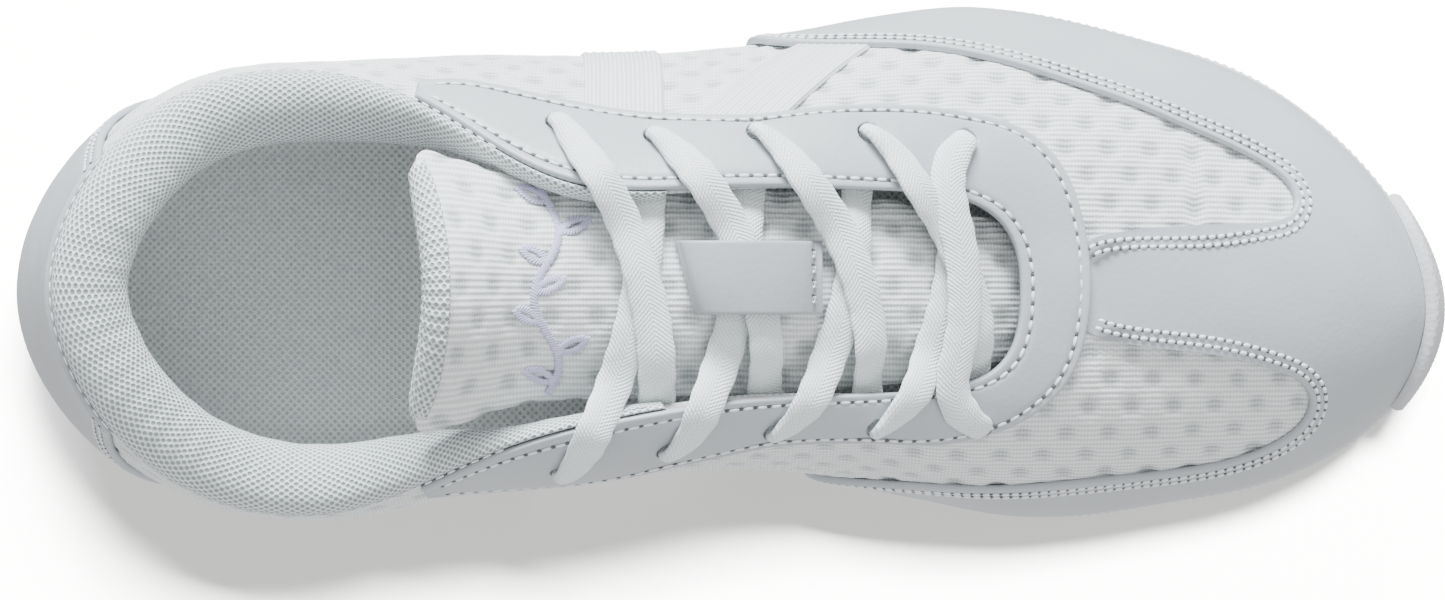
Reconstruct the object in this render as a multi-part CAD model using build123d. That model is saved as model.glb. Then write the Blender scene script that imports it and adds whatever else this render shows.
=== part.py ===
"""A left cheer shoe: a low white lace-up trainer with a split sole.

Frame: millimetres, +X from heel to toe, +Y to the outer (lateral) side, +Z up. The origin is the bottom centre
of the shoe's bounding box, so the treads of both sole units rest on Z = 0.

The upper is one smooth surface. A station number s runs round the foot, from 0 at the back of the heel along
the lateral side to 10 at the toe and back along the medial side to 20. A height v runs from 0 at the sole to 1
at the edge of the foot opening. Every layer of the upper is a patch of that surface between two offsets along
its normal: leather outside, then mesh, stiffeners and lining inside.
"""

from build123d import *
import math
import os

import numpy as np

# ---------------------------------------------------------------- driving dimensions
LENGTH = 270.0            # from the heel of the sole to its toe, before the sole's own curves round it off
SHIFT_X = -135.72         # from the working frame, whose X is 0 at the heel, to the row frame
SHIFT_Y = 0.26            # brings the widest points of both sides to equal distances
FIT_GAP = 0.1             # between layers that lie on each other
FIT_TOLERANCE = 0.02      # of the fitted surfaces

# Sole
SOLE_RIM = 3.0            # the sole stands this far outside the upper
OUTSOLE_THICK = 3.5       # rubber tread units
TOE_SPRING = 9.0          # height of the tread's toe end above the ground
TREAD_FLAT_END = 208.0    # X where the toe spring starts
HEEL_ROLL_OFF = 3.0       # rise of the tread at the very back
HEEL_ROLL_LENGTH = 16.0
FEATHER_GAP = 0.9         # the midsole's top lies this far under the upper's bottom edge
ARCH_PLATE = 2.0
FOREFOOT_STATIONS = (5.75, 14.45)
HEEL_STATIONS = (-4.0, 4.0)
FOREFOOT_NOTCH = (108.0, -1.0, 42.0)   # X, Y and radius of the bay in the front unit's rear edge
HEEL_NOTCH = (117.0, -4.0, 32.0)       # and of the one in the heel unit's front edge
GROOVE = 1.6              # width of the tread's ring grooves
GROOVE_DEPTH = 1.5
FOREFOOT_PIVOT = (190.0, -2.0)         # the grooves run in rings round these points
FOREFOOT_RINGS = [8, 14, 20, 26, 32, 38, 44]
HEEL_PIVOT = (44.0, -5.0)
HEEL_RINGS = [8, 14, 20, 26]
INSOLE_BOARD_THICK = 1.5
INSOLE_THICK = 4.5

# Layers of the upper, as offsets from its reference surface
LEATHER = (0.1, 1.3)
MESH = (-1.0, 0.0)
BACKING = (-1.7, -1.1)    # stiffener sheet behind the eyelets and over the toes
COUNTER = (-2.3, -1.1)    # stiffener sheet round the heel
BUMPER = (1.45, 3.3)
BAND = (0.1, 0.7)
LINING_THICK = 0.7
LINING_DEPTH = 1.8        # from the reference surface to the lining's outer face
COUNTER_ROOM = 0.7        # how much deeper the lining lies round the heel

# Toe bumper: middle station, half length in stations, height at the middle
BUMPER_SHAPE = (10.08, 0.84, 0.30)
BUMPER_TAPER = 0.34
# Heel patch: half length in stations at the top, and how much longer it gets towards the sole
HEEL_PATCH = (1.0, 1.5)

# Padded collar
COVER_THICK = 0.8         # knit cover of the collar and of the tongue
COLLAR_END = 4.5          # stations from the heel to the end of the collar
COLLAR_CROWN = 0.42       # rise of the roll over the edge, as a share of its width
COLLAR_TOP = 0.45         # share of the roll's section that runs from the outer seam over the crown
COLLAR_LEAST_FOAM = 1.2
FOAM_END = 4.15           # station where the collar's padding ends
FOAM_SECTION = (0.2, 0.97)

# Tongue
TONGUE_BASE_X = 190.0
TONGUE_TOP_X = 80.0
TONGUE_CENTRE_Y = -6.0
TONGUE_DROP = 0.024       # sides of the tongue fall by this times the square of the distance from the middle
TONGUE_PAD = (0.8, 2.2, 2.5)   # padding at the base, then what is added past the base and near the top
TONGUE_PAD_THIN = 0.6     # share of the padding that is lost towards the side edges
BINDING_THICK = 0.9
BINDING_BULGE = 0.8       # depth of the bound edge's round nose, as a share of its radius
KEEPER_X = (125.3, 148.3)
KEEPER_Y = (-10.0, 3.1)
KEEPER_SLANT = 2.2        # the rear end lies this much further forward on the inner side
KEEPER_SEWN = 3.0         # length that is sewn down, both ends together
KEEPER_ARCH = 7.4
KEEPER_FULLNESS = 0.4     # below 1 the arch rises steeply and is flat on top
KEEPER_THICK = 1.2

# Laces
EYELET_R = 2.25
EYELETS_LATERAL = [(4.75, 0.83), (5.4, 0.83), (6.05, 0.83), (6.81, 0.83), (7.54, 0.82)]
EYELETS_MEDIAL = [(15.25, 0.81), (14.57, 0.815), (13.93, 0.84), (13.2, 0.85), (12.41, 0.825)]
LACE_WIDTH = 7.0
LACE_THICK = 1.2
LACE_IN_HOLE = (3.4, 1.8)
LACE_NARROW = 0.6         # width next to an eyelet, as a share of the full width
LACE_CLEAR = 0.35         # between the lace and the tongue
LACE_CROSSING = 2.0       # the upper lace of a crossing lies this far above the lower one
LACE_ARRIVE = (8.0, 5.5)  # from an eyelet forward to where its lace comes over the edge: lateral, medial
LACE_LEAVE = -1.0         # from an eyelet forward to where its lace comes out from under the edge
UNDER_LACE = 3.95         # depth of the lace's middle under the eyestay
OVER_LACE = 2.65          # and its height above it
OVER_EDGE = 4.5           # and above the throat's edge
LACE_SAG = 0.8            # a lace lies this much lower beside the crossing than in its middle
THROAT_V = 0.985          # height on the surface where a lace crosses the throat's edge
TAIL_LOW = 0.62
AGLET_LENGTH = 12.0
AGLET_R = 1.5
AGLET_LEAN = 0.45

# Each station: bottom x, y; opening edge x, y, z; then how far the side rises (up) and swells (out) above the
# sole, and the reach towards the bottom, outwards and down below the opening edge.
STATIONS = np.array([
    (5, -5.5,     17.3, -5.5, 87,   22, 3, 0.0, 3, 22),
    (14, 15,      25.5, 17, 84,     22, 4, 0.0, 4, 22),
    (36, 26,      43, 31, 73,       18, 8, 0.0, 4, 16),
    (66, 28,      66, 32.5, 69.5,   16, 11, 0.0, 5, 13),
    (97, 29.5,    86, 24, 80,       16, 14, 0.2, 12, 14),
    (126, 33.5,   108, 12.6, 88,    16, 13, 0.4, 10, 13),
    (154, 41,     134, 12, 83,      16, 7, 0.5, 5, 12),
    (182, 46,     158, 12, 73.5,    16, 4, 0.5, 2, 10),
    (213, 40,     176, 10.5, 65.5,  16, 3, 0.5, 1, 10),
    (243, 26.5,   185, 4, 62.2,     17, 2, 0.5, 0, 11),
    (266, -7.5,   187, -6, 61.8,    20, 2, 0.5, 0, 13),
    (248, -35,    185, -16.5, 62.2, 17, 2, 0.5, 0, 11),
    (220, -43.5,  176, -22.5, 65,   16, 3, 0.5, 1, 10),
    (193, -46.5,  158, -24, 72.5,   16, 3, 0.5, 2, 10),
    (164, -40.5,  134, -25, 82,     16, 4, 0.5, 4, 11),
    (130, -31.5,  108, -29.5, 88,   17, 8, 0.3, 14, 9),
    (98, -31.5,   88, -36.5, 81,    17, 11, 0.0, 8, 14),
    (66, -36.5,   66, -45, 71,      17, 10, 0.0, 4, 13),
    (36, -36.5,   43, -42.5, 75,    18, 8, 0.0, 3, 16),
    (14, -26,     25.5, -28, 84,    22, 4, 0.0, 4, 22),
], float)
# Height of the top of the sole, and of the tread, along X.
SOLE_TOP = np.array([(0, 30), (40, 29.5), (80, 28.5), (110, 26), (140, 21.5), (170, 18.5), (200, 18),
                     (230, 19.5), (255, 22), (274, 25)], float)
# Outer edge of the eyestay: station and height.
EYESTAY_EDGE = np.array([(3.5, 0.97), (3.9, 0.83), (4.3, 0.765), (4.8, 0.74), (5.4, 0.75), (5.9, 0.765),
                         (6.6, 0.74), (7.3, 0.73), (7.8, 0.74), (8.2, 0.775), (8.8, 0.835), (10, 0.893),
                         (11, 0.875), (11.8, 0.835), (12.4, 0.79), (13, 0.77), (13.6, 0.775), (14.3, 0.74),
                         (15, 0.67), (15.6, 0.66), (16, 0.74), (16.5, 0.97)], float)
# Padded collar, by distance in stations from the heel: width of the roll, and height where it starts.
COLLAR_WIDTH = np.array([(0, 13), (2, 13.5), (3, 12.5), (3.7, 9.5), (4.4, 5.0), (5, 4.4), (6, 4.2)], float)
COLLAR_LOW = np.array([(0, 0.52), (2, 0.52), (3, 0.56), (3.7, 0.70), (4.3, 0.88), (5, 0.92),
                       (6, 0.93)], float)
# Tongue along X: half width, and height of its top face.
TONGUE_HALF = np.array([(72, 24.4), (90, 20.9), (108, 19.8), (134, 19), (158, 18), (178, 15),
                        (192, 12)], float)
TONGUE_Z = np.array([(70, 104), (90, 96), (108, 88.3), (134, 82.6), (158, 73.3), (170, 67.8), (178, 63.6),
                     (185, 59.4), (192, 55)], float)
# Plan corners of the openings in the toe cap that show the mesh.
WINDOW_LATERAL = [(120, 70), (140, 52), (156, 44), (171, 40), (187, 37.5), (203, 31.5), (221, 24),
                  (234, 18), (238.3, 11), (234, 6.5), (217, 5), (199, 4), (184, 12), (170, 12), (150, 10),
                  (120, 10)]
WINDOW_MEDIAL = [(199, -14), (220.6, -17.3), (234, -20), (239.8, -26), (237, -33.5), (222, -38.7),
                 (203, -41), (184, -42.8), (166, -45), (150, -54), (128, -72), (110, -20), (150, -20),
                 (185, -20)]
# Support bands: station at the eyestay, station at the sole, half width in stations, height of the lower end.
BANDS = [(5.2, 4.5, 0.2, 0.08), (5.7, 6.25, 0.2, 0.52)]


# ---------------------------------------------------------------- curves and the upper's surface
def periodic_spline(points):
    """Cubic spline through the rows of points, at whole parameters, that closes on itself."""
    count = len(points)
    matrix = 4 * np.eye(count) + np.roll(np.eye(count), 1, 0) + np.roll(np.eye(count), -1, 0)
    bend = np.linalg.solve(matrix, 6 * (np.roll(points, -1, 0) - 2 * points + np.roll(points, 1, 0)))

    def at(s):
        s = np.asarray(s, float) % count
        i = np.floor(s).astype(int) % count
        j = (i + 1) % count
        t = (s - np.floor(s))[..., None]
        return (points[i] * (1 - t) + points[j] * t
                + ((1 - t) ** 3 - (1 - t)) * bend[i] / 6 + (t ** 3 - t) * bend[j] / 6)

    return at


def open_spline(table):
    """Natural cubic spline y(x) through the rows of a two-column table."""
    x, y = table[:, 0], table[:, 1]
    step = np.diff(x)
    matrix, right = np.eye(len(x)), np.zeros(len(x))
    for i in range(1, len(x) - 1):
        matrix[i, i - 1:i + 2] = step[i - 1], 2 * (step[i - 1] + step[i]), step[i]
        right[i] = 6 * ((y[i + 1] - y[i]) / step[i] - (y[i] - y[i - 1]) / step[i - 1])
    bend = np.linalg.solve(matrix, right)

    def at(q):
        q = np.asarray(q, float)
        i = np.clip(np.searchsorted(x, q) - 1, 0, len(x) - 2)
        a, b = (x[i + 1] - q) / step[i], (q - x[i]) / step[i]
        curve = (a ** 3 - a) * bend[i] + (b ** 3 - b) * bend[i + 1]
        return a * y[i] + b * y[i + 1] + curve * step[i] ** 2 / 6

    return at


bottom_at = periodic_spline(STATIONS[:, :2])
edge_at = periodic_spline(STATIONS[:, 2:5])
handle_at = periodic_spline(STATIONS[:, 5:])
sole_top = open_spline(SOLE_TOP)
EYESTAY_EDGE_AT = open_spline(EYESTAY_EDGE)
COLLAR_WIDTH_AT = open_spline(COLLAR_WIDTH)
COLLAR_LOW_AT = open_spline(COLLAR_LOW)
TONGUE_HALF_AT = open_spline(TONGUE_HALF)
TONGUE_Z_AT = open_spline(TONGUE_Z)


def tread_height(x):
    """Underside of the tread: flat on the ground, then the toe spring."""
    rise = np.clip((np.asarray(x, float) - TREAD_FLAT_END) / (LENGTH - TREAD_FLAT_END), 0, 1.1)
    return TOE_SPRING * rise ** 2


def smooth_step(x, low, high):
    t = np.clip((np.asarray(x, float) - low) / (high - low), 0, 1)
    return t * t * (3 - 2 * t)


def outward_at(s):
    """Unit vector in plan that points out of the shoe at the sole."""
    along = bottom_at(np.asarray(s) + 1e-3) - bottom_at(np.asarray(s) - 1e-3)
    along = along / np.linalg.norm(along, axis=-1, keepdims=True)
    return np.stack([-along[..., 1], along[..., 0]], -1)


def surface(s, v):
    """Point of the upper's reference surface: a cubic Bezier in v between the sole and the opening edge."""
    s, v = np.broadcast_arrays(np.asarray(s, float), np.asarray(v, float))
    foot, edge, handle, out = bottom_at(s), edge_at(s), handle_at(s), outward_at(s)
    up, swell, share, flare, down = (handle[..., i:i + 1] for i in range(5))
    low = np.concatenate([foot, sole_top(foot[..., 0])[..., None]], -1)
    above_low = low + np.concatenate([out * swell, up], -1)
    below_edge = edge + np.concatenate([(foot - edge[..., :2]) * share + out * flare, -down], -1)
    v = v[..., None]
    return ((1 - v) ** 3 * low + 3 * (1 - v) ** 2 * v * above_low
            + 3 * (1 - v) * v ** 2 * below_edge + v ** 3 * edge)


def normal(s, v):
    """Unit normal of the reference surface, pointing out of the shoe."""
    e = 1e-3
    along = surface(np.asarray(s) + e, v) - surface(np.asarray(s) - e, v)
    v = np.clip(np.asarray(v, float), e, 1 - e)
    rise = surface(s, v + e) - surface(s, v - e)
    n = np.cross(rise, along)
    return n / np.linalg.norm(n, axis=-1, keepdims=True)


def upper(s, v, d):
    return surface(s, v) + normal(s, v) * np.asarray(d)[..., None]


# ---------------------------------------------------------------- solids from surfaces
def row(point):
    """A working point as a vector of the row frame."""
    return Vector(point[0] + SHIFT_X, point[1] + SHIFT_Y, point[2])


def between(outer, inner):
    """A closed solid between two grids of points of the same size."""
    faces = []
    rims = []
    for grid in (outer, inner):
        points = [[row(p) for p in line] for line in grid]
        face = Face.make_surface_from_array_of_points(points, tol=FIT_TOLERANCE, min_deg=3, max_deg=5)
        corners = [points[0][0], points[-1][0], points[-1][-1], points[0][-1]]
        rim = []
        for start, end in zip(corners, corners[1:] + corners[:1]):
            rim.append(min(face.edges(), key=lambda e: min((e @ 0 - start).length + (e @ 1 - end).length,
                                                           (e @ 1 - start).length + (e @ 0 - end).length)))
        faces.append(face)
        rims.append(rim)
    sides = [Face.make_surface_from_curves(a, b) for a, b in zip(*rims)]
    return Solid(Shell([*faces, *sides]))


def grid_of(s_range, v_low, v_high, counts):
    """Stations and heights of a patch. The heights may be numbers or functions of the station."""
    s = np.linspace(*s_range, counts[0])[:, None]
    t = np.linspace(0, 1, counts[1])[None, :]
    low = v_low(s) if callable(v_low) else v_low
    high = v_high(s) if callable(v_high) else v_high
    v = low + (high - low) * t + 0 * s
    return s + 0 * v, v


def patch(s_range, v_low, v_high, offsets, counts=(40, 10)):
    """A layer of the upper between two offsets, which may be numbers or functions of s and v."""
    s, v = grid_of(s_range, v_low, v_high, counts)
    low, high = (d(s, v) if callable(d) else d + 0 * v for d in offsets)
    return between(upper(s, v, high), upper(s, v, low))


def plan_face(corners, z, closed_by_line=False):
    """A horizontal face bounded by a spline through the corners, closed by itself or by a straight line."""
    points = [row((x, y, z)) for x, y in corners]
    if closed_by_line:
        return Face(Wire([Edge.make_spline(points), Edge.make_line(points[-1], points[0])]))
    return Face(Wire([Edge.make_spline(points, periodic=True)]))


def prism(corners, low, high, closed_by_line=False):
    return Solid.extrude(plan_face(corners, low, closed_by_line), Vector(0, 0, high - low))


def height_edges(points):
    """Edges through the points: one straight line along each level stretch, splines between."""
    level = [abs(a.Z - b.Z) < 1e-6 for a, b in zip(points, points[1:])]
    edges, start = [], 0
    for i in range(1, len(points)):
        if i == len(level) or level[i] != level[i - 1]:
            piece = points[start:i + 1]
            straight = level[i - 1] or len(piece) < 3
            edges.append(Edge.make_line(piece[0], piece[-1]) if straight else Edge.make_spline(piece))
            start = i
    return edges


def side_band(x_range, low_at, high_at):
    """A slab across the whole width whose underside and top follow two height curves along X."""
    x = np.linspace(*x_range, 25)
    half = 80.0
    low = [row((q, -half, float(low_at(q)))) for q in x]
    high = [row((q, -half, float(high_at(q)))) for q in x]
    wire = Wire([*height_edges(low), Edge.make_line(low[-1], high[-1]),
                 *height_edges(high[::-1]), Edge.make_line(high[0], low[0])])
    return Solid.extrude(Face(wire), Vector(0, 2 * half, 0))


def outline(s_range, margin, count=23):
    """Plan points of the upper's foot, moved outwards by a margin."""
    s = np.linspace(*s_range, count)
    return (bottom_at(s) + outward_at(s) * margin).tolist()


def write(name, shape):
    """Store one node, made of one solid or of a list of them."""
    solids = shape if isinstance(shape, list) else list(shape.solids())
    export_step(Compound(children=solids) if len(solids) > 1 else solids[0], f"parts/{name}.step")
    print(f"{name:24s} solids {len(solids)} volume {sum(q.volume for q in solids):9.0f}")


# ---------------------------------------------------------------- sole
def heel_rise(x):
    """Underside of the heel unit: flat, with a small roll-off at the back."""
    return HEEL_ROLL_OFF * (1 - smooth_step(x, 0, HEEL_ROLL_LENGTH))


def sole_unit(s_range, underside, x_range, notch):
    """Tread and midsole of one unit, as solids of the same outline."""
    solid = prism(outline(s_range, SOLE_RIM), -1, 60, closed_by_line=True)
    x, y, radius = notch
    solid = solid - Pos(*row((x, y, 0))) * Cylinder(radius, 200)
    solid = max(solid.solids(), key=lambda q: q.volume)
    tread = solid & side_band(x_range, underside, lambda x: underside(x) + OUTSOLE_THICK)
    foam = solid & side_band(x_range, lambda x: underside(x) + OUTSOLE_THICK + FIT_GAP,
                             lambda x: sole_top(x) - FEATHER_GAP)
    return tread, foam


def cut_tread(tread, centre, radii, low, high):
    """Ring grooves round a pivot point, cut into the underside."""
    for radius in radii:
        ring = Cylinder(radius + GROOVE / 2, high - low) - Cylinder(radius - GROOVE / 2, high - low)
        tread = tread - Pos(*row((*centre, (low + high) / 2))) * ring
    return tread


def plate_top(x):
    return sole_top(x) - FEATHER_GAP


def make_sole():
    front_tread, front_foam = sole_unit(FOREFOOT_STATIONS, tread_height, (120, 276), FOREFOOT_NOTCH)
    heel_tread, heel_foam = sole_unit(HEEL_STATIONS, heel_rise, (-6, 104), HEEL_NOTCH)
    plate_outline = outline((3.6, 6.6), -6, 9) + outline((13.4, 16.4), -6, 9)
    plate = prism(plate_outline, 0, 60)
    arch = plate & side_band((60, 190), lambda x: plate_top(x) - ARCH_PLATE, plate_top)
    pocket = plate & side_band((50, 200), lambda x: plate_top(x) - ARCH_PLATE - FIT_GAP,
                               lambda x: plate_top(x) + 3)
    write("forefoot_outsole", cut_tread(front_tread, FOREFOOT_PIVOT, FOREFOOT_RINGS, -1, GROOVE_DEPTH))
    write("heel_outsole", cut_tread(heel_tread, HEEL_PIVOT, HEEL_RINGS, -1, GROOVE_DEPTH))
    write("forefoot_midsole", front_foam - pocket)
    write("heel_midsole", heel_foam - pocket)
    write("arch_plate", arch)


def make_insoles():
    board_low = FIT_GAP - FEATHER_GAP
    sock_low = board_low + INSOLE_BOARD_THICK + FIT_GAP
    board = prism(outline((0, 19.2), -3.2, 25), 0, 80) & side_band(
        (-5, 276), lambda x: sole_top(x) + board_low, lambda x: sole_top(x) + board_low + INSOLE_BOARD_THICK)
    insole = prism(outline((0, 19.2), -3.9, 25), 0, 80) & side_band(
        (-5, 276), lambda x: sole_top(x) + sock_low, lambda x: sole_top(x) + sock_low + INSOLE_THICK)
    write("insole_board", board)
    write("insole", insole)


# ---------------------------------------------------------------- upper
def eyelet_cutters(radius=EYELET_R):
    """Pegs along the surface's normal through every eyelet."""
    pegs = []
    for s, v in EYELETS_LATERAL + EYELETS_MEDIAL:
        place, aim = row(surface(s, v)), Vector(*normal(s, v))
        pegs.append(Plane(origin=place, z_dir=aim) * Cylinder(radius, 14))
    return pegs


def punched(solid):
    for peg in eyelet_cutters():
        solid = solid - peg
    return solid


def make_mesh():
    for side, stations in (("lateral", (0.02, 9.98)), ("medial", (10.02, 19.98))):
        write(f"mesh_upper_{side}", punched(patch(stations, 0.0, 0.995, MESH, (60, 14))))


def eyestay_low(s):
    return EYESTAY_EDGE_AT(s)


def make_eyestay():
    stay = punched(patch((3.72, 16.3), eyestay_low, 1.0, LEATHER, (70, 8)))
    backing = [punched(patch(r, lambda s: eyestay_low(s) + 0.03, THROAT_V, BACKING, (40, 6)))
               for r in ((4.4, 8.6), (11.5, 15.6))]
    write("eyestay", stay)
    write("eyestay_backing", [q for b in backing for q in b.solids()])


def bumper_high(s):
    """Upper edge of the toe bumper: highest in the middle, down to the sole at both ends."""
    middle, half, high = BUMPER_SHAPE
    return high - BUMPER_TAPER * np.abs((s - middle) / half) ** 2.2


def make_toe_cap():
    cap = patch((5.5, 14.4), 0.0, lambda s: eyestay_low(s) - 0.012, LEATHER, (80, 14))
    for window in (WINDOW_LATERAL, WINDOW_MEDIAL):
        cap = cap - prism(window, 20, 100)
    cap = max(cap.solids(), key=lambda q: q.volume)
    write("toe_cap", cap)
    write("toe_bumper", patch((9.25, 10.9), 0.0, bumper_high, BUMPER, (24, 6)))
    write("toe_puff", patch((8.7, 11.4), 0.03, 0.42, BACKING, (24, 8)))


def make_heel():
    v = np.linspace(0.0, 0.99, 12)[None, :]
    t = np.linspace(-1, 1, 30)[:, None]
    s = t * (HEEL_PATCH[0] + HEEL_PATCH[1] * (1 - v) ** 2) - 0.05
    v = v + 0 * s
    write("heel_patch", between(upper(s, v, LEATHER[1] + 0 * v), upper(s, v, LEATHER[0] + 0 * v)))
    write("heel_counter", patch((-2.9, 2.9), 0.03, 0.62, COUNTER, (30, 8)))


def from_heel(s):
    """Distance of a station from the back of the heel, in stations, either way round."""
    s = np.asarray(s) % 20
    return np.minimum(s, 20 - s)


def lining_out(s, v):
    """Depth of the lining's outer face: deeper over the heel counter."""
    return -(LINING_DEPTH + COUNTER_ROOM * (1 - smooth_step(from_heel(s), 3.1, 4.2))) + 0 * v


def lining_in(s, v):
    return lining_out(s, v) - LINING_THICK


def collar_low(s):
    """Height where the padded collar starts, for any station."""
    return COLLAR_LOW_AT(from_heel(s))


def lining_high(s):
    past = smooth_step(from_heel(s), COLLAR_END, COLLAR_END + 0.5)
    return collar_low(s) * (1 - past) + 0.992 * past - 0.015


def make_lining():
    for side, stations in (("lateral", (0.03, 9.97)), ("medial", (10.03, 19.97))):
        lining = patch(stations, 0.0, lining_high, (lining_in, lining_out), (70, 10))
        write(f"lining_{side}", punched(lining))


def collar_point(s, a):
    """The collar roll's surface. a runs from the outer seam over the crown and down inside to the lining."""
    width = COLLAR_WIDTH_AT(np.abs(s))
    low = collar_low(s)
    over = np.clip(a / COLLAR_TOP, 0, 1) * np.pi
    down = np.clip((a - COLLAR_TOP) / (1 - COLLAR_TOP), 0, 1)
    v = 1 - (1 - low) * down
    slim = LINING_DEPTH + COUNTER_ROOM + COVER_THICK + FIT_GAP + COLLAR_LEAST_FOAM
    inside = width + (slim - width) * smooth_step(down, 0, 1)
    depth = np.where(a < COLLAR_TOP, width * (1 - np.cos(over)) / 2, inside)
    rise = COLLAR_CROWN * width * np.sin(over)
    base = surface(s, v)
    n = normal(s, v)
    up = np.stack([0 * s + 0 * a, 0 * s + 0 * a, 1 + 0 * s + 0 * a], -1)
    return base - n * depth[..., None] + up * rise[..., None]


def collar_skin(s, a, inset):
    """The collar's surface moved inwards, into the roll, by an inset."""
    e = 2e-3
    along = collar_point(s + e, a) - collar_point(s - e, a)
    across = collar_point(s, np.clip(a + e, 0, 1)) - collar_point(s, np.clip(a - e, 0, 1))
    n = np.cross(along, across)
    return collar_point(s, a) + n / np.linalg.norm(n, axis=-1, keepdims=True) * inset


def make_collar():
    s = np.linspace(-COLLAR_END, COLLAR_END, 80)[:, None]
    a = np.linspace(0, 1, 26)[None, :]
    s, a = s + 0 * a, a + 0 * s
    write("collar_cover", between(collar_skin(s, a, 0.0), collar_skin(s, a, COVER_THICK)))
    s = np.linspace(-FOAM_END, FOAM_END, 80)[:, None]
    a = np.linspace(*FOAM_SECTION, 22)[None, :]
    s, a = s + 0 * a, a + 0 * s
    share = (a - FOAM_SECTION[0]) / (FOAM_SECTION[1] - FOAM_SECTION[0])
    back_v = THROAT_V + (collar_low(s) + 0.015 - THROAT_V) * share
    back = upper(s, back_v, lining_out(s, back_v) - FIT_GAP / 2)
    write("collar_foam", between(collar_skin(s, a, COVER_THICK + FIT_GAP), back))


# ---------------------------------------------------------------- tongue
def tongue_point(u, w, depth):
    """u runs from the sewn base (0) to the free top (1), w from -1 to 1 across, depth goes into the shoe."""
    x = TONGUE_BASE_X + (TONGUE_TOP_X - TONGUE_BASE_X) * np.asarray(u, float)
    return tongue_at(x, w, depth)


def tongue_at(x, w, depth):
    x, w, depth = np.broadcast_arrays(np.asarray(x, float), np.asarray(w, float), np.asarray(depth, float))

    def skin(x, w):
        across = w * TONGUE_HALF_AT(x)
        return np.stack([x, TONGUE_CENTRE_Y + across, TONGUE_Z_AT(x) - TONGUE_DROP * across ** 2], -1)

    e = 1e-3
    n = np.cross(skin(x + e, w) - skin(x - e, w), skin(x, w + e) - skin(x, w - e))
    n = n / np.linalg.norm(n, axis=-1, keepdims=True)
    return skin(x, w) - n * depth[..., None]


def tongue_layer(u_range, width, top, low, counts=(30, 12)):
    u = np.linspace(*u_range, counts[0])[:, None]
    w = np.linspace(-width, width, counts[1])[None, :]
    u, w = u + 0 * w, w + 0 * u
    upper_depth = top(u, w) if callable(top) else top
    lower_depth = low(u, w) if callable(low) else low
    return between(tongue_point(u, w, upper_depth), tongue_point(u, w, lower_depth))


def foam_thick(u, w):
    """Tongue padding: thick in the middle and at the top, thin at the base and along the edges."""
    base, past_base, near_top = TONGUE_PAD
    along = base + past_base * smooth_step(u, 0.0, 0.25) + near_top * smooth_step(u, 0.5, 0.95)
    return along * (1 - TONGUE_PAD_THIN * w ** 4)


def make_tongue():
    top = COVER_THICK + FIT_GAP
    write("tongue_cover", tongue_layer((0, 1), 1.0, 0.0, COVER_THICK))
    write("tongue_foam", tongue_layer((0.02, 0.99), 0.97, top, lambda u, w: top + foam_thick(u, w)))
    write("tongue_lining", tongue_layer((0, 1), 1.0, lambda u, w: top + foam_thick(u, w) + FIT_GAP,
                                        lambda u, w: top + foam_thick(u, w) + FIT_GAP + COVER_THICK))
    w = np.linspace(-0.985, 0.985, 24)[:, None]
    turn = np.linspace(-0.5, 0.5, 12)[None, :] * np.pi
    w, turn = w + 0 * turn, turn + 0 * w
    thick = top + foam_thick(1.0, w) + FIT_GAP + COVER_THICK
    shells = []
    for wall in (BINDING_THICK + FIT_GAP, FIT_GAP):
        radius = thick / 2 + wall
        depth = thick / 2 - radius * np.sin(turn)
        x = TONGUE_TOP_X - FIT_GAP - (radius * np.cos(turn)) * BINDING_BULGE
        shells.append(tongue_at(x, w, depth))
    write("tongue_binding", between(*shells))


def make_keeper():
    """The lace keeper: a leather strip sewn to the tongue at both ends, arched over the crossed laces."""
    share = np.linspace(0, 1, 24)[:, None]
    y = np.linspace(*KEEPER_Y, 8)[None, :] + 0 * share
    rear = KEEPER_X[0] + KEEPER_SLANT * (KEEPER_Y[1] - y) / (KEEPER_Y[1] - KEEPER_Y[0])
    x = rear + (KEEPER_X[1] - rear) * share
    w = (y - TONGUE_CENTRE_Y) / TONGUE_HALF_AT(x)
    along = (x - rear - KEEPER_SEWN / 6) / (KEEPER_X[1] - rear - KEEPER_SEWN)
    lift = FIT_GAP + KEEPER_ARCH * np.sin(np.pi * np.clip(along, 0, 1)) ** KEEPER_FULLNESS
    write("lace_keeper", between(tongue_at(x, w, -lift - KEEPER_THICK), tongue_at(x, w, -lift)))


# ---------------------------------------------------------------- laces
def smooth_path(points, normals, count):
    """Evenly spaced points of a smooth curve through the given ones, with interpolated normals."""
    points, normals = np.array(points, float), np.array(normals, float)
    length = np.r_[0, np.cumsum(np.linalg.norm(np.diff(points, axis=0), axis=1))]
    q = np.linspace(0, length[-1], count)
    path = np.stack([open_spline(np.stack([length, points[:, i]], 1))(q) for i in range(3)], -1)
    n = np.stack([np.interp(q, length, normals[:, i]) for i in range(3)], -1)
    return path, n / np.linalg.norm(n, axis=-1, keepdims=True)


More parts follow.
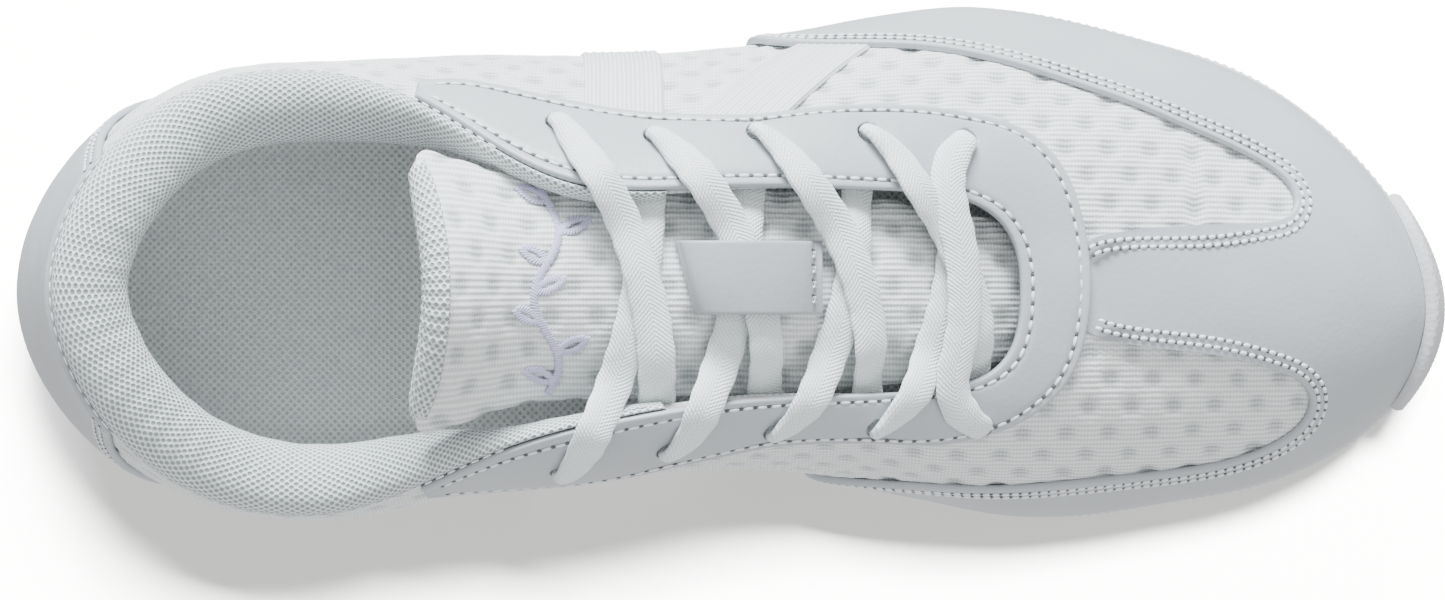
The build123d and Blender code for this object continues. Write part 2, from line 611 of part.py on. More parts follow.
def ribbon(points, normals, half_width, count=16):
    """A flat band along the points; half_width gives its half width from start to end."""
    path, n = smooth_path(points, normals, count)
    half_at = TONGUE_HALF_AT(path[:, 0])
    across = path[:, 1] - TONGUE_CENTRE_Y
    clear = TONGUE_Z_AT(path[:, 0]) - TONGUE_DROP * across ** 2 + LACE_THICK / 2 + LACE_CLEAR
    near_tongue = (np.abs(across) < half_at + 1) & (path[:, 0] > TONGUE_TOP_X)
    path[:, 2] = np.where(near_tongue, np.maximum(path[:, 2], clear), path[:, 2])
    along = np.gradient(path, axis=0)
    side = np.cross(n, along)
    side = side / np.linalg.norm(side, axis=-1, keepdims=True)
    up = np.cross(along, side)
    up = up / np.linalg.norm(up, axis=-1, keepdims=True)
    half = np.interp(np.linspace(0, 1, count), np.linspace(0, 1, len(half_width)), half_width)
    sections = []
    for i in range(count):
        wide, thick = side[i] * half[i], up[i] * LACE_THICK / 2
        ring = [row(path[i] + wide * a + thick * b) for a, b in ((-1, -1), (1, -1), (1, 1), (-1, 1))]
        sections.append(Wire.make_polygon(ring, close=True))
    return Solid.make_loft(sections, ruled=True)


def throat_station(x, lateral):
    """Station on the throat's edge at this X."""
    s = np.linspace(4.0, 9.8, 120) if lateral else np.linspace(16.0, 10.2, 120)
    return float(np.interp(x, edge_at(s)[:, 0], s))


def lace_run(start, end, lift):
    """One crossing: from under one side of the throat, over the tongue, over the other side to its eyelet."""
    to_lateral = end[0] < 10
    leave_s = throat_station(surface(*start)[0] + LACE_LEAVE, not to_lateral)
    arrive_s = throat_station(surface(*end)[0] + LACE_ARRIVE[0 if to_lateral else 1], to_lateral)
    leave = upper(leave_s, THROAT_V, -UNDER_LACE)
    arrive = upper(arrive_s, 1.0, OVER_EDGE)
    p = [upper(*start, -UNDER_LACE), leave]
    n = [normal(*start), normal(leave_s, THROAT_V)]
    for share in (0.2, 0.35, 0.5, 0.65, 0.75):
        q = leave + (arrive - leave) * np.array([share ** 2, share, share])
        sag = LACE_SAG * ((share - 0.5) / 0.3) ** 2
        crown = tongue_at(q[0], 0.0, sag - LACE_THICK / 2 - LACE_CLEAR - lift)
        p.append(np.array([crown[0], q[1], crown[2]]))
        n.append(crown - tongue_at(q[0], 0.0, LACE_SAG))
    p += [arrive, upper(*end, OVER_LACE)]
    n += [normal(arrive_s, THROAT_V), normal(*end)]
    half = LACE_WIDTH / 2
    narrow = half * LACE_NARROW
    return ribbon(p, n, [narrow, half, half, half, half, half, narrow], 22)


def lace_plug(eyelet):
    """The gathered stretch of lace inside an eyelet."""
    place, aim = surface(*eyelet), normal(*eyelet)
    length = OVER_LACE + UNDER_LACE - LACE_THICK - 2 * FIT_GAP
    centre = place + aim * (OVER_LACE - UNDER_LACE) / 2
    return Plane(origin=row(centre), z_dir=Vector(*aim)) * Box(LACE_IN_HOLE[0], LACE_IN_HOLE[1], length)


def lace_bar():
    """The first stretch, straight across between the two eyelets nearest the toe."""
    a, b = EYELETS_LATERAL[-1], EYELETS_MEDIAL[-1]
    p = [upper(*a, OVER_LACE), upper(a[0] + 0.25, THROAT_V, OVER_LACE)]
    n = [normal(*a), normal(a[0], THROAT_V)]
    last = [upper(b[0] - 0.25, THROAT_V, OVER_LACE), upper(*b, OVER_LACE)]
    middle = (p[1] + last[0]) / 2 + np.array([1.5, 0, 0.4])
    p.append(middle)
    n.append(np.array([0, 0, 1.0]))
    p += last
    n += [normal(b[0], THROAT_V), normal(*b)]
    half = LACE_WIDTH / 2
    narrow = half * LACE_NARROW
    return ribbon(p, n, [narrow, half, half, half, narrow])


def tail_line(eyelet):
    """Where a lace end lies inside the shoe: down the lining from its top eyelet."""
    s = eyelet[0]
    v = np.linspace(eyelet[1], TAIL_LOW, 6)
    depth = -(LINING_DEPTH + COUNTER_ROOM + LINING_THICK + LACE_THICK / 2 + 0.4)
    return [upper(s, q, depth if i else -UNDER_LACE) for i, q in enumerate(v)], [normal(s, q) for q in v]


def make_laces():
    solids = [lace_bar()]
    for k in range(4, 0, -1):
        solids.append(lace_run(EYELETS_LATERAL[k], EYELETS_MEDIAL[k - 1], 0.0))
        solids.append(lace_run(EYELETS_MEDIAL[k], EYELETS_LATERAL[k - 1], LACE_CROSSING))
    for eyelet in EYELETS_LATERAL + EYELETS_MEDIAL:
        solids.append(lace_plug(eyelet))
    aglets = []
    for eyelet in (EYELETS_LATERAL[0], EYELETS_MEDIAL[0]):
        p, n = tail_line(eyelet)
        half = LACE_WIDTH / 2
        solids.append(ribbon(p, n, [half * LACE_NARROW, half, half, half, half * 0.5, half * 0.45]))
        down = p[-1] - p[-2]
        down = down / np.linalg.norm(down) - AGLET_LEAN * n[-1]
        down = down / np.linalg.norm(down)
        centre = p[-1] + down * (AGLET_LENGTH / 2 + FIT_GAP)
        aglets.append(Plane(origin=row(centre), z_dir=Vector(*down)) * Cylinder(AGLET_R, AGLET_LENGTH))
    write("lace", [q for part in solids for q in part.solids()])
    write("lace_aglets", [q for part in aglets for q in part.solids()])


def make_bands():
    """Woven support bands on the outer side, in a V from the eyestay down to the sole."""
    solids = []
    for top_s, low_s, half, low_v in BANDS:
        t = np.linspace(0, 1, 20)[:, None]
        across = np.linspace(-1, 1, 6)[None, :]
        v = low_v + (EYESTAY_EDGE_AT(top_s) - 0.02 - low_v) * t + 0 * across
        s = low_s + (top_s - low_s) * t ** 0.9 + across * half
        solids.append(between(upper(s, v, BAND[1] + 0 * v), upper(s, v, BAND[0] + 0 * v)))
    write("support_bands", solids)


os.makedirs("parts", exist_ok=True)
make_sole()
make_insoles()
make_mesh()
make_toe_cap()
make_eyestay()
make_heel()
make_bands()
make_lining()
make_collar()
make_tongue()
make_keeper()
make_laces()
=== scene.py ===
"""The looks of the white cheer shoe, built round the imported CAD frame.

Shapes are worked out in millimetres in the shoe's working frame (x from the heel to the toe, y to the outer side,
z up) from the same curves as the CAD upper: a station s round the foot, 0 at the back of the heel, 10 at the toe,
20 back at the heel, and a height v from 0 at the sole to 1 at the edge of the opening.
"""

import math

import bmesh
import bpy
import numpy as np
from mathutils import Matrix, Vector


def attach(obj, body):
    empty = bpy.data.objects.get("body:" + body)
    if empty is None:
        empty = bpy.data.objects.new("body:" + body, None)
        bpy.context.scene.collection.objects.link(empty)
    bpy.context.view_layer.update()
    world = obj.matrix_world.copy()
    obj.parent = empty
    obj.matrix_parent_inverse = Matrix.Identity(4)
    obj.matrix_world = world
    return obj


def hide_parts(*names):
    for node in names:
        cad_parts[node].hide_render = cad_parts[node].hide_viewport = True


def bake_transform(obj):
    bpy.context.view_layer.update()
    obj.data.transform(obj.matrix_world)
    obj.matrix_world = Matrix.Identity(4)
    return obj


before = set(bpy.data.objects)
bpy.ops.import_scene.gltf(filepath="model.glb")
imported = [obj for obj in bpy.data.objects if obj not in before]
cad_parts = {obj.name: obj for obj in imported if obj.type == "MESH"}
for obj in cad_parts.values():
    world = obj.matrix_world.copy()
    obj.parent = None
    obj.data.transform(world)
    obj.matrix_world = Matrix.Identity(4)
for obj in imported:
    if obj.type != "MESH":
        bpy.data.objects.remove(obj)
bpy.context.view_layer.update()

MM = 0.001
SHIFT = np.array([-135.72, 0.26, 0.0])   # from the working frame to the row frame, in mm

# ---------------------------------------------------------------- driving dimensions, in mm
STATIONS = np.array([
    (5, -5.5,     17.3, -5.5, 87,   22, 3, 0.0, 3, 22),
    (14, 15,      25.5, 17, 84,     22, 4, 0.0, 4, 22),
    (36, 26,      43, 31, 73,       18, 8, 0.0, 4, 16),
    (66, 28,      66, 32.5, 69.5,   16, 11, 0.0, 5, 13),
    (97, 29.5,    86, 24, 80,       16, 14, 0.2, 12, 14),
    (126, 33.5,   108, 12.6, 88,    16, 13, 0.4, 10, 13),
    (154, 41,     134, 12, 83,      16, 7, 0.5, 5, 12),
    (182, 46,     158, 12, 73.5,    16, 4, 0.5, 2, 10),
    (213, 40,     176, 10.5, 65.5,  16, 3, 0.5, 1, 10),
    (243, 26.5,   185, 4, 62.2,     17, 2, 0.5, 0, 11),
    (266, -7.5,   187, -6, 61.8,    20, 2, 0.5, 0, 13),
    (248, -35,    185, -16.5, 62.2, 17, 2, 0.5, 0, 11),
    (220, -43.5,  176, -22.5, 65,   16, 3, 0.5, 1, 10),
    (193, -46.5,  158, -24, 72.5,   16, 3, 0.5, 2, 10),
    (164, -40.5,  134, -25, 82,     16, 4, 0.5, 4, 11),
    (130, -31.5,  108, -29.5, 88,   17, 8, 0.3, 14, 9),
    (98, -31.5,   88, -36.5, 81,    17, 11, 0.0, 8, 14),
    (66, -36.5,   66, -45, 71,      17, 10, 0.0, 4, 13),
    (36, -36.5,   43, -42.5, 75,    18, 8, 0.0, 3, 16),
    (14, -26,     25.5, -28, 84,    22, 4, 0.0, 4, 22),
], float)
SOLE_TOP = [(0, 30), (40, 29.5), (80, 28.5), (110, 26), (140, 21.5), (170, 18.5), (200, 18), (230, 19.5), (255, 22),
            (274, 25)]
EYESTAY_EDGE = [(3.5, 0.97), (3.9, 0.83), (4.3, 0.765), (4.8, 0.74), (5.4, 0.75), (5.9, 0.765), (6.6, 0.74),
                (7.3, 0.73), (7.8, 0.74), (8.2, 0.775), (8.8, 0.835), (10, 0.893), (11, 0.875), (11.8, 0.835),
                (12.4, 0.79), (13, 0.77), (13.6, 0.775), (14.3, 0.74), (15, 0.67), (15.6, 0.66), (16, 0.74),
                (16.5, 0.97)]
EYELETS_LATERAL = [(4.75, 0.83), (5.4, 0.83), (6.05, 0.83), (6.81, 0.83), (7.54, 0.82)]
EYELETS_MEDIAL = [(15.25, 0.81), (14.57, 0.815), (13.93, 0.84), (13.2, 0.85), (12.41, 0.825)]
EYELET_R = 2.25
# The toe cap's inner edge, round both mesh windows: station at the sole, then station and height on the edge.
CAP_EDGE = [(5.45, 5.45, 0.08), (5.7, 5.7, 0.33), (6.2, 6.2, 0.44), (6.87, 6.87, 0.49), (7.5, 7.5, 0.52),
            (8.09, 8.09, 0.535), (8.5, 8.5, 0.53), (8.83, 8.83, 0.505), (9.12, 9.12, 0.455), (9.3, 9.3, 0.432),
            (9.45, 9.43, 0.45), (9.58, 9.515, 0.505), (9.66, 9.52, 0.56), (9.77, 9.475, 0.71), (9.9, 9.38, 0.875),
            (10.02, 9.95, 0.902), (10.12, 10.48, 0.885), (10.27, 10.49, 0.70), (10.38, 10.51, 0.56),
            (10.46, 10.55, 0.49), (10.6, 10.66, 0.42), (10.8, 10.84, 0.372), (11.0, 11.02, 0.36), (11.27, 11.27, 0.372),
            (11.6, 11.6, 0.41), (12.21, 12.21, 0.475), (12.8, 12.8, 0.50), (13.4, 13.4, 0.48), (13.9, 13.9, 0.41),
            (14.25, 14.25, 0.30), (14.45, 14.45, 0.08)]
COLLAR_WIDTH = [(0, 13), (2, 13.5), (3, 12.5), (3.7, 9.5), (4.4, 5.0), (5, 4.2), (5.6, 3.2), (6, 2.8)]
COLLAR_LOW = [(0, 0.52), (2, 0.52), (3, 0.56), (3.7, 0.70), (4.3, 0.88), (5, 0.92), (6, 0.93)]
TONGUE_HALF = [(72, 24.4), (90, 20.9), (108, 19.8), (134, 19), (158, 18), (178, 15), (192, 12)]
TONGUE_Z = [(70, 104), (90, 96), (108, 88.3), (134, 82.6), (158, 73.3), (170, 67.8), (178, 63.6), (185, 59.4),
            (192, 55)]
TONGUE_DROP = 0.024
TONGUE_CENTRE_Y = -6.0
TONGUE_X = (190.0, 80.0)
LACE_WIDTH = 6.5
LACE_THICK = 1.6
DIMPLE_PITCH = (8.0, 10.6)


# ---------------------------------------------------------------- curves and the upper's surface
def periodic_spline(points):
    count = len(points)
    matrix = 4 * np.eye(count) + np.roll(np.eye(count), 1, 0) + np.roll(np.eye(count), -1, 0)
    bend = np.linalg.solve(matrix, 6 * (np.roll(points, -1, 0) - 2 * points + np.roll(points, 1, 0)))

    def at(s):
        s = np.asarray(s, float) % count
        i = np.floor(s).astype(int) % count
        j = (i + 1) % count
        t = (s - np.floor(s))[..., None]
        return (points[i] * (1 - t) + points[j] * t
                + ((1 - t) ** 3 - (1 - t)) * bend[i] / 6 + (t ** 3 - t) * bend[j] / 6)

    return at


def open_spline(table):
    """Natural cubic spline y(x) through the rows of a table; y may have several columns."""
    table = np.array(table, float)
    x, y = table[:, 0], table[:, 1:]
    step = np.diff(x)
    matrix, right = np.eye(len(x)), np.zeros_like(y)
    for i in range(1, len(x) - 1):
        matrix[i, i - 1:i + 2] = step[i - 1], 2 * (step[i - 1] + step[i]), step[i]
        right[i] = 6 * ((y[i + 1] - y[i]) / step[i] - (y[i] - y[i - 1]) / step[i - 1])
    bend = np.linalg.solve(matrix, right)

    def at(q):
        q = np.asarray(q, float)
        i = np.clip(np.searchsorted(x, q) - 1, 0, len(x) - 2)
        a, b, h = (x[i + 1] - q) / step[i], (q - x[i]) / step[i], step[i]
        a, b, h = a[..., None], b[..., None], h[..., None]
        value = a * y[i] + b * y[i + 1] + ((a ** 3 - a) * bend[i] + (b ** 3 - b) * bend[i + 1]) * h ** 2 / 6
        return value[..., 0] if y.shape[1] == 1 else value

    return at


bottom_at = periodic_spline(STATIONS[:, :2])
edge_at = periodic_spline(STATIONS[:, 2:5])
handle_at = periodic_spline(STATIONS[:, 5:])
sole_top = open_spline(SOLE_TOP)
eyestay_low = open_spline(EYESTAY_EDGE)
collar_width = open_spline(COLLAR_WIDTH)
collar_low_at = open_spline(COLLAR_LOW)
tongue_half = open_spline(TONGUE_HALF)
tongue_z = open_spline(TONGUE_Z)


def smooth_step(x, low, high):
    t = np.clip((np.asarray(x, float) - low) / (high - low), 0, 1)
    return t * t * (3 - 2 * t)


def unit(v):
    return v / np.maximum(np.linalg.norm(v, axis=-1, keepdims=True), 1e-12)


def outward_at(s):
    along = unit(bottom_at(np.asarray(s) + 1e-3) - bottom_at(np.asarray(s) - 1e-3))
    return np.stack([-along[..., 1], along[..., 0]], -1)


def surface(s, v):
    """Point of the upper's reference surface."""
    s, v = np.broadcast_arrays(np.asarray(s, float), np.asarray(v, float))
    foot, edge, handle, out = bottom_at(s), edge_at(s), handle_at(s), outward_at(s)
    up, swell, share, flare, down = (handle[..., i:i + 1] for i in range(5))
    low = np.concatenate([foot, sole_top(foot[..., 0])[..., None]], -1)
    above_low = low + np.concatenate([out * swell, up], -1)
    below_edge = edge + np.concatenate([(foot - edge[..., :2]) * share + out * flare, -down], -1)
    v = v[..., None]
    return ((1 - v) ** 3 * low + 3 * (1 - v) ** 2 * v * above_low
            + 3 * (1 - v) * v ** 2 * below_edge + v ** 3 * edge)


def normal(s, v):
    e = 1e-3
    along = surface(np.asarray(s) + e, v) - surface(np.asarray(s) - e, v)
    v = np.clip(np.asarray(v, float), e, 1 - e)
    return unit(np.cross(surface(s, v + e) - surface(s, v - e), along))


def upper(s, v, d):
    return surface(s, v) + normal(s, v) * np.asarray(d)[..., None]


def ripple(x, y, size, seed=0.0):
    """Smooth repeatable unevenness between about -1 and 1."""
    a, b = x / size, y / size
    return (np.sin(a * 2.1 + seed) * np.cos(b * 1.7 - seed * 1.3) + 0.6 * np.sin(a * 3.7 - b * 2.9 + seed * 2.1)
            + 0.4 * np.sin(a * 5.3 + b * 6.1 + seed * 0.7)) / 2


# ---------------------------------------------------------------- meshes
def new_piece(name, points, faces, material, uv=None, body="root", slot=None, hides=(), smooth=True):
    """A mesh piece from working-frame points in mm. uv is per vertex, in mm."""
    mesh = bpy.data.meshes.new(name)
    points = (np.asarray(points, float).reshape(-1, 3) + SHIFT) * MM
    mesh.from_pydata(points.tolist(), [], [tuple(int(i) for i in f) for f in faces])
    mesh.update()
    if uv is not None:
        layer = mesh.uv_layers.new(name="mm")
        loops = np.empty(len(mesh.loops), int)
        mesh.loops.foreach_get("vertex_index", loops)
        layer.data.foreach_set("uv", np.asarray(uv, float).reshape(-1, 2)[loops].ravel())
    mesh.polygons.foreach_set("use_smooth", [smooth] * len(mesh.polygons))
    mesh.materials.append(material)
    piece = bpy.data.objects.new(name, mesh)
    bpy.context.scene.collection.objects.link(piece)
    if body:
        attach(piece, body)
    if hides:
        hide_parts(*hides)
    return piece


def grid_quads(rows, cols, start=0, flip=False, wrap=False):
    i = np.arange(rows - (0 if wrap else 1))[:, None]
    j = np.arange(cols - 1)[None, :]
    a = start + i * cols + j
    b = start + ((i + 1) % rows) * cols + j
    quads = np.stack([a, b, b + 1, a + 1], -1).reshape(-1, 4)
    return quads[:, ::-1] if flip else quads


def rim_quads(rows, cols, offset):
    """Walls between the border of one grid and the same border of a second grid that starts at offset."""
    ring = ([i * cols for i in range(rows)] + [(rows - 1) * cols + j for j in range(1, cols)]
            + [i * cols + cols - 1 for i in range(rows - 2, -1, -1)] + [j for j in range(cols - 2, 0, -1)])
    ring = np.array(ring)
    nxt = np.roll(ring, -1)
    return np.stack([ring, ring + offset, nxt + offset, nxt], -1)


def sheet_piece(name, outer, inner, material, uv, **options):
    """A closed piece between two grids of points of the same shape."""
    rows, cols = outer.shape[:2]
    points = np.concatenate([outer.reshape(-1, 3), inner.reshape(-1, 3)])
    faces = np.concatenate([grid_quads(rows, cols), grid_quads(rows, cols, rows * cols, flip=True),
                            rim_quads(rows, cols, rows * cols)])
    # turn the faces outwards when the grid runs the other way
    a, b, c = outer[rows // 2, cols // 2], outer[rows // 2 + 1, cols // 2], outer[rows // 2, cols // 2 + 1]
    if np.dot(np.cross(b - a, c - a), a - inner[rows // 2, cols // 2]) < 0:
        faces = faces[:, ::-1]
    return new_piece(name, points, faces, material, uv=np.concatenate([uv.reshape(-1, 2)] * 2), **options)


class Panel:
    """A strip of the upper between two edge lines given as stations and heights."""

    def __init__(self, low, high, samples=28):
        self.low, self.high = np.asarray(low, float), np.asarray(high, float)
        t = np.linspace(0, 1, samples)[None, :, None]
        self.path = self.low[:, None] * (1 - t) + self.high[:, None] * t
        line = surface(self.path[..., 0], self.path[..., 1])
        step = np.linalg.norm(np.diff(line, axis=1), axis=-1)
        self.reach = np.concatenate([np.zeros((len(step), 1)), np.cumsum(step, 1)], 1)
        self.length = self.reach[:, -1]
        middle = line[:, samples // 2]
        run = np.linalg.norm(np.diff(middle, axis=0), axis=-1)
        self.along = np.r_[0, np.cumsum(run)]

    def at(self, distance):
        """Stations and heights at a distance from the low edge, one or more for every line."""
        distance = np.broadcast_to(distance, (len(self.length),) + np.shape(distance)[1:])
        return np.stack([np.stack([np.interp(distance[i], self.reach[i], self.path[i, :, k])
                                   for i in range(len(self.length))]) for k in (0, 1)], -1)

    def rows(self, near_low, near_high, interior):
        """Distances from the low edge: close together near both edges, even in between."""
        full = self.length[:, None]
        low = np.minimum(np.array(near_low)[None], full * 0.45 * np.linspace(0, 1, len(near_low))[None])
        high = full - np.minimum(np.array(near_high)[None], full * 0.45 * np.linspace(0, 1, len(near_high))[None])
        share = np.linspace(0, 1, interior + 2)[None, 1:-1]
        middle = low[:, -1:] * (1 - share) + high[:, -1:] * share
        return np.concatenate([low, middle, high[:, ::-1]], 1)

    def stitch_line(self, distance, from_high=False, part=(0, 1)):
        d = self.length - distance if from_high else np.full(len(self.length), float(distance))
        line = self.at(d[:, None])[:, 0]
        a, b = int(part[0] * len(line)), int(part[1] * len(line))
        return line[a:b]


EDGE_ROWS = (0, 0.05, 0.16, 0.34, 0.6, 0.95, 1.4, 1.8, 2.1, 2.4, 2.8, 3.4)


def leather_panel(name, panel, material, inner, outer, stitches_low=(), stitches_high=(), lift=0.0, interior=12,
                  round_ends=True, wave=0.12, **options):
    """A cut leather piece: rounded cut edges, a groove under every stitch line and slight unevenness."""
    d = panel.rows(EDGE_ROWS, EDGE_ROWS, interior)
    sv = panel.at(d)
    from_low, from_high = d, panel.length[:, None] - d
    ends = np.minimum(panel.along, panel.along[-1] - panel.along)[:, None] if round_ends else 99.0
    reach = np.minimum(np.minimum(from_low, from_high), ends)
    fullness = np.sqrt(np.clip(1 - (1 - np.clip(reach / 0.5, 0, 1)) ** 2, 0, 1))
    height = (outer - inner) * (0.5 + 0.5 * fullness)
    for q in stitches_low:
        height = height - 0.28 * np.exp(-((from_low - q) / 0.55) ** 2)
    for q in stitches_high:
        height = height - 0.28 * np.exp(-((from_high - q) / 0.55) ** 2)
    base = surface(sv[..., 0], sv[..., 1])
    height = height + wave * ripple(base[..., 0], base[..., 1] + base[..., 2], 14.0, len(name)) * fullness
    rise = lift(sv[..., 0], sv[..., 1]) if callable(lift) else lift
    n = normal(sv[..., 0], sv[..., 1])
    top = base + n * (inner + rise + height)[..., None]
    bottom = base + n * (inner + rise + 0 * height)[..., None]
    uv = np.stack([panel.along[:, None] + 0 * d, d], -1)
    return sheet_piece(name, top, bottom, material, uv, **options)


def capsule(rings=5, sides=6):
    """A unit stitch along X: half length 1, radius 1."""
    x = np.sin(np.linspace(-0.5, 0.5, rings) * math.pi)
    r = np.sqrt(np.clip(1 - np.abs(x) ** 3, 0, 1))
    a = np.arange(sides) / sides * 2 * math.pi
    points = [(-1, 0, 0)]
    for i in range(1, rings - 1):
        points += [(x[i], r[i] * math.cos(q), r[i] * math.sin(q)) for q in a]
    points.append((1, 0, 0))
    faces = []
    last = len(points) - 1
    for k in range(sides):
        faces.append((0, 1 + (k + 1) % sides, 1 + k))
        top = 1 + (rings - 3) * sides
        faces.append((last, top + k, top + (k + 1) % sides))
        for i in range(rings - 3):
            a0, b0 = 1 + i * sides + k, 1 + i * sides + (k + 1) % sides
            faces.append((a0, b0, b0 + sides, a0 + sides))
    return np.array(points), faces


CAPSULE = capsule()


def walk(points, normals, pitch):
    """Places at even spacing along a polyline, with directions and normals."""
    reach = np.r_[0, np.cumsum(np.linalg.norm(np.diff(points, axis=0), axis=1))]
    count = max(2, int(reach[-1] / pitch))
    q = (np.arange(count) + 0.5) * reach[-1] / count
    place = np.stack([np.interp(q, reach, points[:, k]) for k in range(3)], -1)
    n = unit(np.stack([np.interp(q, reach, normals[:, k]) for k in range(3)], -1))
    ahead = np.stack([np.interp(q + pitch * 0.3, reach, points[:, k]) for k in range(3)], -1)
    behind = np.stack([np.interp(q - pitch * 0.3, reach, points[:, k]) for k in range(3)], -1)
    return place, unit(ahead - behind), n


NEEDLE_PIT_SHADE_PARTS = {"root": [], "tongue": []}


def stitch_run(points, normals, pitch, length, radius, flat=0.8, slant=0.0, holes_in=None):
    """Stitches along a polyline, as points and faces. holes_in names the body whose needle holes they leave, as pits of
    painted shade.
    """
    place, along, n = walk(points, normals, pitch)
    n = unit(n - along * np.sum(n * along, -1, keepdims=True))
    side = np.cross(n, along)
    if holes_in:
        add_needle_pit_shade(place, along, side, n, pitch, holes_in)
    shape, faces = CAPSULE
    verts, quads = [], []
    for k in range(len(place)):
        turn = slant + 0.05 * math.sin(k * 2.3)
        x = along[k] * math.cos(turn) + side[k] * math.sin(turn)
        y = np.cross(n[k], x)
        stretch = 1 + 0.06 * math.sin(k * 1.7)
        local = shape * np.array([length / 2 * stretch, radius, radius * flat])
        verts.append(place[k] + local[:, :1] * x + local[:, 1:2] * y + local[:, 2:] * n[k])
        quads += [tuple(i + k * len(shape) for i in f) for f in faces]
    return np.concatenate(verts), quads


def add_needle_pit_shade(place, along, side, n, pitch, body):
    """A small dark pit between each stitch and the next: near-black painted shade where the needle hole is."""
    shape, faces = CAPSULE
    verts, quads = [], []
    for k in range(len(place)):
        centre = place[k] + along[k] * pitch / 2 - n[k] * 0.08
        local = shape * np.array([0.42, 0.40, 0.16])
        verts.append(centre + local[:, :1] * along[k] + local[:, 1:2] * side[k] + local[:, 2:] * n[k])
        quads += [tuple(i + k * len(shape) for i in f) for f in faces]
    NEEDLE_PIT_SHADE_PARTS[body].append((np.concatenate(verts), quads))


# painted shade of the needle holes, one piece per body
def make_needle_pit_shade():
    for body, parts in NEEDLE_PIT_SHADE_PARTS.items():
        thread_piece(f"needle_shade_pits_{body}", parts, NEEDLE_PIT_SHADE, body=body, slot="smooth_leather")


def join_parts(parts):
    points, faces, start = [], [], 0
    for verts, quads in parts:
        points.append(verts)
        faces += [tuple(i + start for i in f) for f in quads]
        start += len(verts)
    return np.concatenate(points), faces


def thread_piece(name, runs, material, body="root", slot=None):
    points, faces = join_parts(runs)
    return new_piece(name, points, faces, material, body=body, slot=slot)


# ---------------------------------------------------------------- materials
class Nodes:
    """A node material under construction."""

    def __init__(self, name, colour, roughness):
        self.material = bpy.data.materials.new(name)
        self.material.use_nodes = True
        self.tree = self.material.node_tree
        self.shader = self.tree.nodes["Principled BSDF"]
        self.shader.inputs["Base Color"].default_value = (*colour, 1)
        self.shader.inputs["Roughness"].default_value = roughness
        self.uv = self.add("ShaderNodeUVMap").outputs["UV"]
        self.place = self.add("ShaderNodeTexCoord").outputs["Object"]

    def add(self, kind, **values):
        node = self.tree.nodes.new(kind)
        for key, value in values.items():
            setattr(node, key, value)
        return node

    def put(self, socket, value):
        if isinstance(value, bpy.types.NodeSocket):
            self.tree.links.new(value, socket)
        else:
            socket.default_value = value

    def maths(self, operation, a, b=0.0, clamp=False):
        node = self.add("ShaderNodeMath", operation=operation, use_clamp=clamp)
        self.put(node.inputs[0], a)
        self.put(node.inputs[1], b)
        return node.outputs[0]

    def vector(self, operation, a, b=None):
        node = self.add("ShaderNodeVectorMath", operation=operation)
        self.put(node.inputs[0], a)
        if b is not None:
            self.put(node.inputs[1], b)
        return node.outputs["Value"] if operation in ("LENGTH", "DOT_PRODUCT") else node.outputs["Vector"]

    def split(self, vector):
        node = self.add("ShaderNodeSeparateXYZ")
        self.put(node.inputs[0], vector)
        return node.outputs

    def ramp(self, value, low, high, to_low=0.0, to_high=1.0):
        node = self.add("ShaderNodeMapRange", interpolation_type="SMOOTHSTEP")
        for socket, v in zip(node.inputs[:5], (value, low, high, to_low, to_high)):
            self.put(socket, v)
        return node.outputs[0]

    def noise(self, vector, scale, detail=3.0, rough=0.55):
        node = self.add("ShaderNodeTexNoise")
        self.put(node.inputs["Vector"], vector)
        node.inputs["Scale"].default_value = scale
        node.inputs["Detail"].default_value = detail
        node.inputs["Roughness"].default_value = rough
        return node.outputs[0]

    def cells(self, vector, scale, feature="F1", output="Distance"):
        node = self.add("ShaderNodeTexVoronoi", feature=feature)
        self.put(node.inputs["Vector"], vector)
        node.inputs["Scale"].default_value = scale
        return node.outputs[output]

    def mix(self, share, a, b):
        node = self.add("ShaderNodeMix", data_type="RGBA")
        self.put(node.inputs[0], share)
        self.put(node.inputs[6], (*a, 1) if isinstance(a, tuple) else a)
        self.put(node.inputs[7], (*b, 1) if isinstance(b, tuple) else b)
        return node.outputs[2]

    def half(self, turn):
        sine = self.maths("SINE", turn)
        return self.maths("ADD", self.maths("MULTIPLY", sine, 0.5), 0.5)

    def dots(self, vector, pitch_x, pitch_y):
        """Distance to the nearest point of a staggered lattice, in the vector's unit."""
        found = []
        for shift in (0.0, 0.5):
            at = self.vector("MULTIPLY", vector, (1 / pitch_x, 1 / pitch_y, 0))
            at = self.vector("ADD", at, (shift, shift, 0))
            at = self.vector("SUBTRACT", self.vector("FRACTION", at), (0.5, 0.5, 0))
            found.append(self.vector("LENGTH", self.vector("MULTIPLY", at, (pitch_x, pitch_y, 0))))
        return self.maths("MINIMUM", *found)

    def bump(self, height, distance, strength=1.0):
        node = self.add("ShaderNodeBump")
        node.inputs["Strength"].default_value = strength
        node.inputs["Distance"].default_value = distance
        self.put(node.inputs["Height"], height)
        self.tree.links.new(node.outputs[0], self.shader.inputs["Normal"])

    def colour(self, socket):
        self.tree.links.new(socket, self.shader.inputs["Base Color"])

    def rough(self, value):
        self.tree.links.new(value, self.shader.inputs["Roughness"])

    def sheen(self, weight, roughness=0.4):
        self.shader.inputs["Sheen Weight"].default_value = weight
        self.shader.inputs["Sheen Roughness"].default_value = roughness


LEATHER_WHITE = (0.445, 0.468, 0.49)
KNIT_WHITE = (0.86, 0.885, 0.885)


